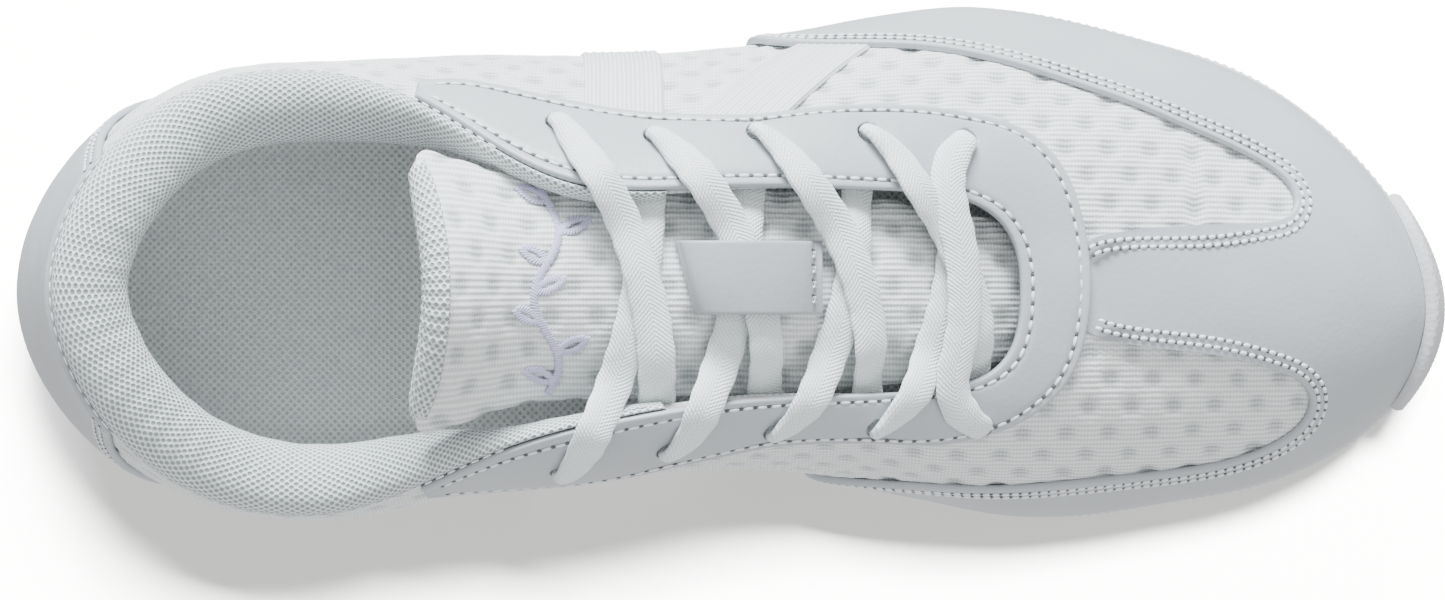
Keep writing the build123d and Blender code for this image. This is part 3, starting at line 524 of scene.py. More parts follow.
def leather_material(name="smooth_leather", shade_factor=1.0):
    n = Nodes(name, LEATHER_WHITE, 0.42)
    fine = n.noise(n.place, 1400, 4.0)
    pores = n.cells(n.place, 900)
    broad = n.noise(n.place, 45, 2.0)
    # shade_factor below 1 darkens the whole colour, as painted shade
    low = tuple(c * 0.955 * shade_factor for c in LEATHER_WHITE)
    high = tuple(min(1, c * 1.015 * shade_factor) for c in LEATHER_WHITE)
    n.colour(n.mix(n.ramp(broad, 0.3, 0.7), low, high))
    n.rough(n.ramp(fine, 0.2, 0.8, 0.36, 0.50))
    n.bump(n.maths("ADD", n.maths("MULTIPLY", fine, 0.6), n.maths("MULTIPLY", pores, 0.5)), 0.00009, 0.6)
    n.shader.inputs["Specular IOR Level"].default_value = 0.45
    n.shader.inputs["Coat Weight"].default_value = 0.08
    n.shader.inputs["Coat Roughness"].default_value = 0.35
    return n.material


def knit_material(name="knit_mesh", dimple=True):
    """Ribbed knit with a staggered field of open dimples, with painted shade in the rib troughs and in the dimples. UV
    x runs along the ribs.
    """
    n = Nodes(name, KNIT_WHITE, 0.8)
    x, y, _ = n.split(n.uv)
    ribs = n.half(n.maths("MULTIPLY", y, 2 * math.pi / 1.05))
    loops = n.half(n.maths("ADD", n.maths("MULTIPLY", x, 2 * math.pi / 0.62), n.maths("MULTIPLY", ribs, 1.4)))
    yarn = n.noise(n.place, 2600, 2.0)
    height = n.maths("ADD", n.maths("MULTIPLY", ribs, 0.8), n.maths("MULTIPLY", loops, 0.45))
    height = n.maths("ADD", height, n.maths("MULTIPLY", yarn, 0.5))
    # painted shade: the colour darkens where ribs and loops are low, with random yarn tone on top
    shade = n.mix(n.ramp(height, 0.35, 1.5), tuple(c * 0.72 for c in KNIT_WHITE), tuple(c * 1.06 for c in KNIT_WHITE))
    if dimple:
        patchy = n.maths("MULTIPLY", n.noise(n.uv, 0.5, 2.0), 1.2)
        reach = n.maths("ADD", n.dots(n.uv, *DIMPLE_PITCH), patchy)
        hole = n.ramp(reach, 1.2, 3.0, 1.0, 0.0)
        # painted shade: the open dimples are painted dark, darkest where the knit is low
        dark = n.mix(n.ramp(height, 0.3, 1.3), (0.24, 0.265, 0.275), (0.52, 0.55, 0.56))
        shade = n.mix(n.maths("MULTIPLY", hole, 0.68), shade, dark)
    n.colour(shade)
    n.bump(height, 0.00016, 0.8)
    n.sheen(0.25)
    return n.material


def collar_material(name="collar_knit"):
    """Open honeycomb knit: small long cells with raised rims, the cells painted dark as shade."""
    n = Nodes(name, (0.74, 0.79, 0.79), 0.85)
    cell = n.dots(n.uv, 1.5, 1.15)
    rim = n.ramp(cell, 0.16, 0.48)
    yarn = n.noise(n.place, 2600, 2.0)
    # painted shade: dark in the open cells, light on the rims
    n.colour(n.mix(rim, (0.27, 0.31, 0.315), (0.80, 0.845, 0.845)))
    n.bump(n.maths("ADD", rim, n.maths("MULTIPLY", yarn, 0.35)), 0.00035, 0.9)
    n.sheen(0.3)
    return n.material


def lining_material(name="lining_knit"):
    n = Nodes(name, (0.72, 0.745, 0.745), 0.9)
    hole = n.ramp(n.dots(n.uv, 1.5, 1.3), 0.18, 0.42)
    yarn = n.noise(n.place, 2200, 2.0)
    # painted shade: the open holes are painted darker
    n.colour(n.mix(hole, (0.58, 0.61, 0.62), (0.84, 0.86, 0.86)))
    n.bump(n.maths("ADD", hole, n.maths("MULTIPLY", yarn, 0.4)), 0.00018, 0.8)
    n.sheen(0.2)
    return n.material


def insole_material(name="insole_fabric"):
    """Woven cloth with open dots and a scatter of faint dark flecks; the dots are painted darker as shade, the flecks
    are the cloth's own colour.
    """
    n = Nodes(name, (0.62, 0.65, 0.67), 0.9)
    hole = n.ramp(n.dots(n.uv, 1.5, 1.5), 0.20, 0.46)
    fleck = n.ramp(n.noise(n.uv, 0.33, 2.0), 0.60, 0.70)
    yarn = n.noise(n.place, 2300, 2.0)
    # painted shade in the open dots, its depth varied at random
    base = n.mix(n.maths("MULTIPLY", hole, n.ramp(n.noise(n.uv, 0.8, 2.0), 0.25, 0.6, 0.75, 1.0)),
                 (0.50, 0.52, 0.515), (0.75, 0.77, 0.76))
    n.colour(n.mix(n.maths("MULTIPLY", fleck, 0.22), base, (0.52, 0.49, 0.62)))
    n.bump(n.maths("ADD", hole, n.maths("MULTIPLY", yarn, 0.4)), 0.0002, 0.8)
    n.sheen(0.15)
    return n.material


def lace_material(name="lace_weave"):
    """Flat woven lace: diagonal ridges that meet along its middle, with painted shade in the grooves between them. UV x
    runs along the lace.
    """
    n = Nodes(name, (0.74, 0.79, 0.79), 0.75)
    x, y, _ = n.split(n.uv)
    lean = n.maths("MULTIPLY", n.maths("ABSOLUTE", y), 0.9)
    ridge = n.half(n.maths("MULTIPLY", n.maths("ADD", x, lean), 2 * math.pi / 0.8))
    rows = n.half(n.maths("MULTIPLY", y, 2 * math.pi / 0.55))
    yarn = n.noise(n.place, 3000, 2.0)
    height = n.maths("ADD", n.maths("MULTIPLY", ridge, 0.55), n.maths("MULTIPLY", rows, 0.35))
    height = n.maths("ADD", height, n.maths("MULTIPLY", yarn, 0.5))
    height = n.maths("ADD", height, n.maths("MULTIPLY", n.noise(n.uv, 0.7, 3.0), 0.5))
    # painted shade: darker in the grooves of the weave, lighter on the ridges, plus random tone from the broad noise
    n.colour(n.mix(n.ramp(height, 0.45, 1.45), (0.70, 0.755, 0.76), (0.90, 0.94, 0.935)))
    n.bump(height, 0.00018, 0.9)
    n.sheen(0.3)
    return n.material


def ribbon_material(name="woven_tape"):
    n = Nodes(name, (0.80, 0.81, 0.83), 0.6)
    x, y, _ = n.split(n.uv)
    ribs = n.half(n.maths("MULTIPLY", y, 2 * math.pi / 1.0))
    # painted shade: darker in the grooves between the ribs
    n.colour(n.mix(ribs, (0.66, 0.68, 0.70), (0.92, 0.93, 0.94)))
    n.bump(n.maths("ADD", ribs, n.maths("MULTIPLY", n.noise(n.place, 2500), 0.3)), 0.0002, 0.8)
    n.sheen(0.3)
    return n.material


def thread_material(name="thread", colour=(0.84, 0.86, 0.87)):
    n = Nodes(name, colour, 0.55)
    twist = n.noise(n.place, 3500, 2.0)
    n.colour(n.mix(twist, tuple(c * 0.88 for c in colour), tuple(min(1, c * 1.06) for c in colour)))
    n.bump(twist, 0.00008, 0.6)
    n.sheen(0.2)
    return n.material


def rubber_material(name="sole_rubber", colour=(0.56, 0.57, 0.585)):
    n = Nodes(name, colour, 0.55)
    pebble = n.cells(n.place, 1150)
    broad = n.noise(n.place, 60, 3.0)
    n.colour(n.mix(broad, tuple(c * 0.94 for c in colour), tuple(c * 1.03 for c in colour)))
    n.rough(n.ramp(broad, 0.3, 0.7, 0.48, 0.62))
    n.bump(pebble, 0.00012, 0.7)
    return n.material


def foam_material(name="midsole_foam"):
    n = Nodes(name, (0.74, 0.755, 0.775), 0.6)
    grain = n.noise(n.place, 900, 5.0)
    broad = n.noise(n.place, 35, 2.0)
    n.colour(n.mix(broad, (0.55, 0.565, 0.58), (0.62, 0.63, 0.645)))
    n.bump(grain, 0.0001, 0.6)
    return n.material


def plain_material(name, colour, roughness, grain, depth):
    """For the inner pieces that hardly show: board, stiffener sheet, foam and film, and for the near-black painted
    shade in the needle holes.
    """
    n = Nodes(name, colour, roughness)
    speck = n.noise(n.place, grain, 4.0)
    n.colour(n.mix(speck, tuple(c * 0.9 for c in colour), tuple(min(1, c * 1.05) for c in colour)))
    n.bump(speck, depth, 0.7)
    return n.material


LEATHER = leather_material()
# painted shade: the keeper strip is the same white leather, made 12% darker to stand in for the shade on it
KEEPER_SHADED_LEATHER = leather_material("keeper_leather_shaded", 0.88)
KNIT = knit_material()
COLLAR_KNIT = collar_material()
LINING = lining_material()
INSOLE_CLOTH = insole_material()
LACE_CLOTH = lace_material()
RIBBON = ribbon_material()
THREAD = thread_material()
LILAC_THREAD = thread_material("lilac_thread", (0.60, 0.58, 0.78))
RUBBER = rubber_material()
FOAM = foam_material()
# painted shade: near-black pits stand in for the shade in the needle holes
NEEDLE_PIT_SHADE = plain_material("painted_needle_shade", (0.10, 0.105, 0.11), 0.9, 2000, 0.00005)
BOARD = plain_material("board", (0.62, 0.60, 0.55), 0.9, 1500, 0.0001)
SHEET_PLASTIC = plain_material("sheet_plastic", (0.70, 0.69, 0.65), 0.6, 900, 0.00005)
FILM = plain_material("aglet_film", (0.74, 0.75, 0.77), 0.25, 1200, 0.00003)
SATIN_PLASTIC = plain_material("satin_plastic", (0.68, 0.69, 0.71), 0.45, 700, 0.00005)


# ---------------------------------------------------------------- the upper
def girth_field(s_from, s_to):
    """Pattern coordinate across the foot: distance along a cross-section from the middle line, for (x, v)."""
    x = np.linspace(0, 262, 132)
    v = np.linspace(0, 1, 61)
    s = np.linspace(s_from, s_to, 400)
    table = np.zeros((len(v), len(x)))
    points = np.zeros((len(v), len(x), 3))
    inside = np.zeros((len(v), len(x)), bool)
    for k, q in enumerate(v):
        line = surface(s, np.full_like(s, q))
        found = np.interp(x, line[:, 0], s) if line[-1, 0] > line[0, 0] else np.interp(x, line[::-1, 0], s[::-1])
        points[k] = surface(found, np.full_like(found, q))
        inside[k] = (x >= line[:, 0].min()) & (x <= line[:, 0].max())
    for k in range(len(v) - 1, -1, -1):
        if k == len(v) - 1:
            table[k] = np.abs(points[k, :, 1] - TONGUE_CENTRE_Y)
            continue
        step = np.hypot(points[k + 1, :, 1] - points[k, :, 1], points[k + 1, :, 2] - points[k, :, 2])
        fresh = np.abs(points[k, :, 1] - TONGUE_CENTRE_Y)
        table[k] = np.where(inside[k + 1], table[k + 1] + step, fresh)
    return x, v, table


def girth_at(field, px, pv):
    x, v, table = field
    i = np.clip((px - x[0]) / (x[1] - x[0]), 0, len(x) - 1.001)
    j = np.clip(pv * (len(v) - 1), 0, len(v) - 1.001)
    i0, j0 = i.astype(int), j.astype(int)
    a, b = i - i0, j - j0
    return ((table[j0, i0] * (1 - a) + table[j0, i0 + 1] * a) * (1 - b)
            + (table[j0 + 1, i0] * (1 - a) + table[j0 + 1, i0 + 1] * a) * b)


def lattice_distance(u, w, pitch):
    """Distance to the nearest point of a staggered lattice."""
    found = []
    for shift in (0.0, 0.5):
        a = (np.mod(u / pitch[0] + shift, 1) - 0.5) * pitch[0]
        b = (np.mod(w / pitch[1] + shift, 1) - 0.5) * pitch[1]
        found.append(np.hypot(a, b))
    return np.minimum(*found)


def dimples(u, w):
    """Height of the knit: pillows between sunk open dots, and faint ribs."""
    r = lattice_distance(u, w, DIMPLE_PITCH)
    return -0.5 * (1 - smooth_step(r, 0.6, 2.9)) + 0.07 * np.sin(w * 2 * math.pi / 1.05)


def make_knit_upper(name, s_range, hides):
    field = girth_field(*s_range)
    s = np.linspace(*s_range, 560)[:, None]
    near = np.minimum(s % 20, 20 - s % 20)
    low_open = np.clip(eyestay_low(np.clip(s, 3.5, 16.5)) + 0.05, 0, 1)
    top = 0.995 * (1 - smooth_step(near, 3.5, 4.1)) + low_open * smooth_step(near, 3.5, 4.1)
    v = 0.002 + (top - 0.002) * np.linspace(0, 1, 120)[None, :]
    s = s + 0 * v
    base = surface(s, v)
    u, w = base[..., 0], girth_at(field, base[..., 0], v)
    edge = np.minimum(v, 1 - v)
    rise = dimples(u, w) * smooth_step(edge, 0.0, 0.03) + 0.25 * ripple(u, w, 22.0, 1.0)
    outer = upper(s, v, rise - 0.1)
    inner = upper(s, v, -1.0 + 0 * v)
    sheet_piece(name, outer, inner, KNIT, np.stack([u, w], -1), slot="knit_mesh", hides=hides)


def open_curve(points, count):
    """A smooth line through a few (a, b, ...) rows, evenly sampled."""
    points = np.array(points, float)
    step = np.linalg.norm(np.diff(points * np.array([20.0] * (points.shape[1] - 1) + [65.0]), axis=0), axis=1)
    reach = np.r_[0, np.cumsum(step ** 0.8)]
    line = open_spline(np.column_stack([reach, points]))
    return line(np.linspace(0, reach[-1], count))


def surface_line(sv, d):
    return upper(sv[:, 0], sv[:, 1], np.full(len(sv), d)), normal(sv[:, 0], sv[:, 1])


def beside(sv, distance):
    """The line on the surface that lies a distance to the right of a line given by stations and heights."""
    start, n = surface_line(sv, 0.0)
    aim = start + np.cross(n, unit(np.gradient(start, axis=0))) * distance
    s, v = sv[:, 0].copy(), sv[:, 1].copy()
    e = 1e-3
    for _ in range(4):
        a = (surface(s + e, v) - surface(s - e, v)) / (2 * e)
        b = (surface(s, v + e) - surface(s, v - e)) / (2 * e)
        gap = aim - surface(s, v)
        aa, ab, bb = np.sum(a * a, -1), np.sum(a * b, -1), np.sum(b * b, -1)
        ga, gb = np.sum(gap * a, -1), np.sum(gap * b, -1)
        s += (ga * bb - gb * ab) / (aa * bb - ab ** 2)
        v += (gb * aa - ga * ab) / (aa * bb - ab ** 2)
    return np.stack([s, v], -1)


def make_toe_cap():
    line = open_curve(CAP_EDGE, 520)
    low = np.stack([line[:, 0], 0 * line[:, 0] + 0.002], -1)
    panel = Panel(low, line[:, 1:])
    under = lambda s, v: -1.0 * smooth_step(v, 0.80, 0.90) * (np.abs(s - 9.95) < 1.2)
    leather_panel("toe_cap_leather", panel, LEATHER, 0.05, 1.3, lift=under, interior=16,
                  slot="smooth_leather", hides=("toe_cap",))
    runs = []
    bar_end = (np.abs(line[:, 1] - 9.95) < 0.75) & (line[:, 2] > 0.885)
    first, last = np.argmax(bar_end), len(line) - np.argmax(bar_end[::-1])
    for part in (slice(12, first), slice(last, -12)):
        for distance in (1.4, 2.9):
            points, n = surface_line(beside(line[part, 1:], distance), 1.36)
            runs.append(stitch_run(points, n, 1.8, 1.5, 0.40, slant=0.14, holes_in="root"))
    thread_piece("toe_cap_stitching", runs, THREAD, slot="smooth_leather")


def hole_cutter(name, eyelets, radius=EYELET_R):
    """Round pegs through the eyelets, as one mesh."""
    sides = 28
    parts = []
    for s, v in eyelets:
        centre, n = surface(s, v), normal(s, v)
        a = unit(np.cross(n, [0, 0, 1.0]))
        b = np.cross(n, a)
        q = np.arange(sides) / sides * 2 * math.pi
        ring = centre + radius * (np.cos(q)[:, None] * a + np.sin(q)[:, None] * b)
        points = np.concatenate([ring - n * 6, ring + n * 6])
        faces = [(k, (k + 1) % sides, sides + (k + 1) % sides, sides + k) for k in range(sides)]
        faces += [tuple(range(sides))[::-1], tuple(range(sides, 2 * sides))]
        parts.append((points, faces))
    points, faces = join_parts(parts)
    mesh = bpy.data.meshes.new(name)
    mesh.from_pydata(((points + SHIFT) * MM).tolist(), [], faces)
    cutter = bpy.data.objects.new(name, mesh)
    bpy.context.scene.collection.objects.link(cutter)
    return cutter


def punch(piece, cutter):
    cut = piece.modifiers.new("punch", "BOOLEAN")
    cut.operation = "DIFFERENCE"
    cut.object = cutter
    cut.solver = "EXACT"
    depsgraph = bpy.context.evaluated_depsgraph_get()
    result = bpy.data.meshes.new_from_object(piece.evaluated_get(depsgraph))
    piece.modifiers.clear()
    piece.data = result
    cutter_mesh = cutter.data
    bpy.data.objects.remove(cutter)
    bpy.data.meshes.remove(cutter_mesh)


def make_eyestay():
    s = np.linspace(3.66, 16.36, 620)
    low = np.stack([s, eyestay_low(s)], -1)
    high = np.stack([s, 0 * s + 1.0], -1)
    panel = Panel(low, high)

    def press(s, v):
        """The leather dips where a lace is pulled into an eyelet."""
        here = surface(s, v)
        dip = 0 * v
        for eyelet in EYELETS_LATERAL + EYELETS_MEDIAL:
            r = np.linalg.norm(here - surface(*eyelet), axis=-1)
            dip = dip - 0.45 * np.exp(-(r / 3.4) ** 2)
        return dip + 0.25 * smooth_step(1 - np.abs(s - 9.95), 0.2, 0.9) * smooth_step(1 - v, 0.0, 0.08)

    piece = leather_panel("eyestay_leather", panel, LEATHER, 0.05, 1.35, stitches_low=(1.9,), stitches_high=(2.1,), lift=press,
                          interior=22, slot="smooth_leather", hides=("eyestay",))
    punch(piece, hole_cutter("eyelet_pegs", EYELETS_LATERAL + EYELETS_MEDIAL))
    runs = []
    for distance, from_high in ((1.9, False), (2.1, True)):
        sv = panel.stitch_line(distance, from_high, part=(0.012, 0.988))
        points, n = surface_line(sv, 1.22)
        runs.append(stitch_run(points, n, 2.6, 1.95, 0.34, holes_in="root"))
    thread_piece("eyestay_stitching", runs, THREAD, slot="smooth_leather")


def make_heel_patch():
    v = np.linspace(0.01, 0.992, 200)
    reach = 1.0 + 1.5 * (1 - v) ** 2
    panel = Panel(np.stack([-reach - 0.1, v], -1), np.stack([reach, v], -1), samples=60)
    leather_panel("heel_leather", panel, LEATHER, 0.05, 1.3, stitches_low=(1.8, 3.6), stitches_high=(1.8, 3.6),
                  interior=50, slot="smooth_leather", hides=("heel_patch",))
    runs = []
    for distance in (1.8, 3.6):
        for from_high in (False, True):
            sv = panel.stitch_line(distance, from_high, part=(0.02, 0.98))
            points, n = surface_line(sv, 1.22)
            runs.append(stitch_run(points, n, 2.5, 1.95, 0.34, holes_in="root"))
    thread_piece("heel_stitching", runs, THREAD, slot="smooth_leather")


# Support bands: station at the eyestay, station at the sole, half width in stations, height of the lower end.
BANDS = [(5.15, 4.45, 0.26, 0.03), (5.85, 6.3, 0.30, 0.36)]


def make_bands():
    for k, (top_s, low_s, half, low_v) in enumerate(BANDS):
        t = np.linspace(0, 1, 90)[:, None]
        across = np.linspace(-1, 1, 26)[None, :]
        v = low_v + (eyestay_low(top_s) + 0.03 - low_v) * t + 0 * across
        s = low_s + (top_s - low_s) * t ** 0.9 + across * half
        edge = np.minimum(1 - np.abs(across), 0.12) / 0.12 + 0 * t
        ribs = 0.09 * np.cos(across * 9 * math.pi) + 0 * t
        d = 0.15 + 0.45 * np.sqrt(np.clip(1 - (1 - edge) ** 2, 0, 1)) + ribs * edge
        uv = np.stack([t * 60 + 0 * across, across * 9 + 0 * t], -1)
        sheet_piece(f"support_band_{k + 1}", upper(s, v, d), upper(s, v, 0.0 * d - 0.1), RIBBON, uv,
                    slot="woven_tape", hides=("support_bands",) if k == 0 else ())


# ---------------------------------------------------------------- collar and lining
def collar_low(s):
    near = np.minimum(np.asarray(s) % 20, 20 - np.asarray(s) % 20)
    return collar_low_at(near)


COLLAR_LEAST = 4.6


def collar_point(s, a):
    """The collar roll. a runs from the outer seam over the crown (0.45) and down inside to the lining."""
    width = collar_width(np.abs(s))
    low = collar_low(s)
    over = np.clip(a / 0.45, 0, 1) * np.pi
    down = np.clip((a - 0.45) / 0.55, 0, 1)
    v = 1 - (1 - low) * down
    slim = np.minimum(COLLAR_LEAST, width)
    depth = np.where(a < 0.45, width * (1 - np.cos(over)) / 2, width + (slim - width) * smooth_step(down, 0, 1))
    rise = (0.44 * width + 0.3) * np.sin(over) ** 0.85
    crease = 0.16 * ripple(s * 18, a * 30, 5.0, 2.0) + 0.10 * np.sin(s * 31) * np.sin(a * 7)
    point = surface(s, v) - normal(s, v) * depth[..., None]
    point[..., 2] += rise
    return point, crease


def make_collar():
    s = np.linspace(-5.62, 5.62, 560)[:, None]
    a = np.r_[np.linspace(0, 0.45, 26), np.linspace(0.45, 1, 26)[1:]][None, :]
    s, a = s + 0 * a, a + 0 * s
    point, crease = collar_point(s, a)
    n = unit(np.cross(np.gradient(point, axis=0), np.gradient(point, axis=1)))
    if np.dot(n[280, 24], [0, 0, 1]) < 0:
        n = -n
    ends = smooth_step(5.62 - np.abs(s), 0.0, 0.25)
    outer = point + n * (crease * ends * np.sin(np.clip(a, 0, 1) * np.pi))[..., None]
    inner = point - n * np.minimum(0.9, 0.3 + 0 * a + ends)[..., None]
    along = np.cumsum(np.r_[0, np.linalg.norm(np.diff(point[:, 20], axis=0), axis=1)])
    across = np.cumsum(np.concatenate([np.zeros((len(s), 1)), np.linalg.norm(np.diff(point, axis=1), axis=-1)], 1), 1)
    uv = np.stack([along[:, None] + 0 * a, across], -1)
    cover = sheet_piece("collar_roll", outer, inner, COLLAR_KNIT, uv, slot="collar_knit",
                        hides=("collar_cover", "collar_foam"))
    seam = point[:, 1] + n[:, 1] * 0.05
    seam_n = normal(s[:, 0], 0 * s[:, 0] + 1.0)
    keep = slice(60, -60)
    thread_piece("collar_seam", [stitch_run(seam[keep] + seam_n[keep] * 0.2, seam_n[keep], 2.6, 1.9, 0.24)],
                 THREAD, slot="collar_knit")


def make_lining(name, s_range, hides):
    s = np.linspace(*s_range, 260)[:, None]
    near = np.minimum(s % 20, 20 - s % 20)
    past = smooth_step(near, 4.3, 5.0)
    high = (collar_low(s) + 0.02) * (1 - past) + 0.985 * past
    v = 0.004 + (high - 0.004) * np.linspace(0, 1, 44)[None, :]
    s = s + 0 * v
    deep = 1.8 + 0.7 * (1 - smooth_step(near, 3.1, 4.2)) + 0 * v
    wave = 0.15 * ripple(s * 18, v * 60, 12.0, 3.0)
    line = surface(s, v)
    along = np.cumsum(np.r_[0, np.linalg.norm(np.diff(line[:, 20], axis=0), axis=1)])
    across = np.cumsum(np.concatenate([np.zeros((len(s), 1)), np.linalg.norm(np.diff(line, axis=1), axis=-1)], 1), 1)
    uv = np.stack([along[:, None] + 0 * v, across], -1)
    sheet_piece(name, upper(s, v, -deep - 0.7 + wave), upper(s, v, -deep), LINING, uv, slot="lining_fabric",
                hides=hides)


# ---------------------------------------------------------------- tongue
def tongue_skin(x, y):
    return tongue_z(x) - TONGUE_DROP * (y - TONGUE_CENTRE_Y) ** 2


def tongue_at(x, w, depth):
    x, w, depth = np.broadcast_arrays(np.asarray(x, float), np.asarray(w, float), np.asarray(depth, float))

    def skin(x, w):
        free = 1 - smooth_step(x, 78, 104)
        across = w * (tongue_half(x) + 3.0 * free)
        corner = 4.5 * np.clip((np.abs(w) - 0.84) / 0.16, 0, 1) ** 3
        bent = x + (6.0 * (1 - w ** 2) - 1.5 * w ** 6 + corner) * free
        return np.stack([bent, TONGUE_CENTRE_Y + across, tongue_z(x) - TONGUE_DROP * across ** 2], -1)

    e = 1e-3
    n = unit(np.cross(skin(x + e, w) - skin(x - e, w), skin(x, w + e) - skin(x, w - e)))
    return skin(x, w) + n * -depth[..., None]


def foam_thick(u, w):
    along = 0.8 + 2.2 * smooth_step(u, 0.0, 0.25) + 2.5 * smooth_step(u, 0.5, 0.95)
    return along * (1 - 0.6 * w ** 4)


def make_tongue():
    """The padded tongue: one closed form, with the knit face above, the lining below and rounded edges."""
    u = np.linspace(0, 1, 300)[:, None]
    turn = np.linspace(-1, 1, 130)[None, :]
    x = TONGUE_X[0] + (TONGUE_X[1] - TONGUE_X[0]) * u + 0 * turn
    w = np.sin(turn * math.pi / 2) * 0.35 + turn * 0.65 + 0 * u
    y = TONGUE_CENTRE_Y + w * tongue_half(x)
    side = np.clip((1 - np.abs(w)) * tongue_half(x), 0, 2.0) / 2.0
    round_off = 1.6 * (1 - np.sqrt(np.clip(1 - (1 - side) ** 2, 0, 1)))
    notch = 0.55 * np.exp(-((x - 168) / 9.0) ** 2)
    sew = np.exp(-((np.abs(w) * tongue_half(x) - tongue_half(x) + 4.5) / 0.8) ** 2) * 0.35
    top_puff = dimples(x, y) * 0.75 + 0.25 * ripple(x, y, 16.0, 4.0) - sew - notch * 0
    top = tongue_at(x, w, round_off - top_puff)
    thick = 2.0 + foam_thick(u, w)
    bottom = tongue_at(x, w, thick - round_off * 0.6)
    points_uv = np.stack([x, y], -1)
    cover = sheet_piece("tongue_pad", top, bottom, KNIT, points_uv, body="tongue", slot="knit_mesh",
                        hides=("tongue_cover", "tongue_foam", "tongue_lining"))
    cover.data.materials.append(LINING)
    rows, cols = x.shape
    lower = (rows - 1) * (cols - 1)
    for index in range(lower, 2 * lower):
        cover.data.polygons[index].material_index = 1


def make_tongue_binding():
    """Knit binding rolled over the tongue's free edge."""
    w = np.linspace(-0.99, 0.99, 150)[:, None]
    turn = np.linspace(-0.62, 0.45, 30)[None, :] * math.pi
    w, turn = w + 0 * turn, turn + 0 * w
    thick = 2.0 + foam_thick(1.0, w)
    close = np.sqrt(np.clip(1 - np.abs(w) ** 8, 0.05, 1))
    wrinkle = 0.14 * np.sin(w * 74 + np.sin(turn * 2)) + 0.1 * ripple(w * 50, turn * 10, 6.0, 5.0)
    walls = []
    for wall in (0.95, 0.15):
        radius = (thick / 2 + wall + (wrinkle if wall > 0.5 else 0)) * close
        depth = thick / 2 - radius * np.sin(turn)
        x = TONGUE_X[1] + 1.8 - radius * np.cos(turn) * 0.85
        walls.append(tongue_at(x, w, depth))
    uv = np.stack([w * 25, turn * 3.5], -1)
    roll = sheet_piece("tongue_edge_knit", walls[0], walls[1], COLLAR_KNIT, uv, body="tongue", slot="collar_knit",
                       hides=("tongue_binding",))


KEEPER_X, KEEPER_Y = (125.1, 150.6), (-10.0, 2.9)
KEEPER_SEAT = 0.8         # height of its underside at the sewn ends, and how far it is arched above that
KEEPER_ARCH = 3.95
KEEPER_SLANT = 3.5
KEEPER_FLAT = 0.55        # share of the tongue's crown that the strip doesn't follow where it is arched


def over_tongue(x, y, lift, flat):
    """Points a height above the tongue's middle line, that follow its crown less where flat is near 1."""
    low = tongue_at(x, 0 * x, 0 * x)
    up = low - tongue_at(x, 0 * x, 1 + 0 * x)
    across = y - TONGUE_CENTRE_Y
    drop = TONGUE_DROP * across ** 2 * (1 - flat)
    return low + np.stack([0 * x, across, -drop], -1) + up * lift[..., None]


def keeper_rear(y):
    return KEEPER_X[0] + KEEPER_SLANT * (KEEPER_Y[1] - y) / (KEEPER_Y[1] - KEEPER_Y[0])


def keeper_arch(x, y):
    """How far the strip is arched, from 0 at its sewn ends to 1 over the laces."""
    rear = keeper_rear(y)
    share = np.clip((x - rear - 0.4) / (KEEPER_X[1] - rear - 2.4), 0, 1)
    return np.clip(np.sin(np.pi * share), 0, 1) ** 0.42


def make_keeper():
    """The leather strip over the crossed laces: slanted rear end, cut edges and four bar stitches in front."""
    along = np.r_[0, 0.002, 0.006, 0.012, 0.02, np.linspace(0.035, 0.965, 50), 0.98, 0.988, 0.994, 0.998, 1.0][:, None]
    edge = np.r_[0, 0.05, 0.15, 0.35, 0.7, np.linspace(1.2, 12.3, 20), 12.8, 13.15, 13.35, 13.45, 13.5]
    y = (KEEPER_Y[0] + edge / 13.5 * (KEEPER_Y[1] - KEEPER_Y[0]))[None, :] + 0 * along
    rear = keeper_rear(y)
    x = rear + (KEEPER_X[1] - rear) * along
    arch = keeper_arch(x, y)
    lift = KEEPER_SEAT + KEEPER_ARCH * arch
    reach = np.minimum(np.minimum(y - KEEPER_Y[0], KEEPER_Y[1] - y), np.minimum(x - rear, KEEPER_X[1] - x))
    full = np.sqrt(np.clip(1 - (1 - np.clip(reach / 0.3, 0, 1)) ** 2, 0, 1))
    flat = KEEPER_FLAT * arch
    sheet_piece("keeper_strip", over_tongue(x, y, lift + 0.5 + 0.7 * full, flat), over_tongue(x, y, lift, flat),
                KEEPER_SHADED_LEATHER, np.stack([x, y], -1), body="tongue", slot="smooth_leather",
                hides=("lace_keeper",))
    runs = []
    for row_y in np.linspace(KEEPER_Y[0] + 2.6, KEEPER_Y[1] - 2.4, 4):
        for lean in (-0.5, 0.5):
            y = row_y + np.array([-0.6, 0.6])
            x = KEEPER_X[1] - 1.9 + np.array([-lean, lean])
            arch = keeper_arch(x, y)
            lift = KEEPER_SEAT + KEEPER_ARCH * arch + 1.27
            p = over_tongue(x, y, lift, KEEPER_FLAT * arch)
            runs.append(stitch_run(p, unit(p - over_tongue(x, y, 0 * x, 0 * x)), 1.4, 1.2, 0.24, holes_in="tongue"))
    thread_piece("keeper_stitching", runs, THREAD, body="tongue", slot="smooth_leather")


# ---------------------------------------------------------------- laces
OVER_LACE, UNDER_LACE = 2.55, 3.7
OVER_EDGE = 3.1
CROSSING = 1.9
LACE_ARRIVE = (8.0, 5.5)  # from an eyelet forward to where its lace comes over the edge: lateral, medial
LACE_LEAVE = -1.0         # from an eyelet forward to where its lace comes out from under the edge


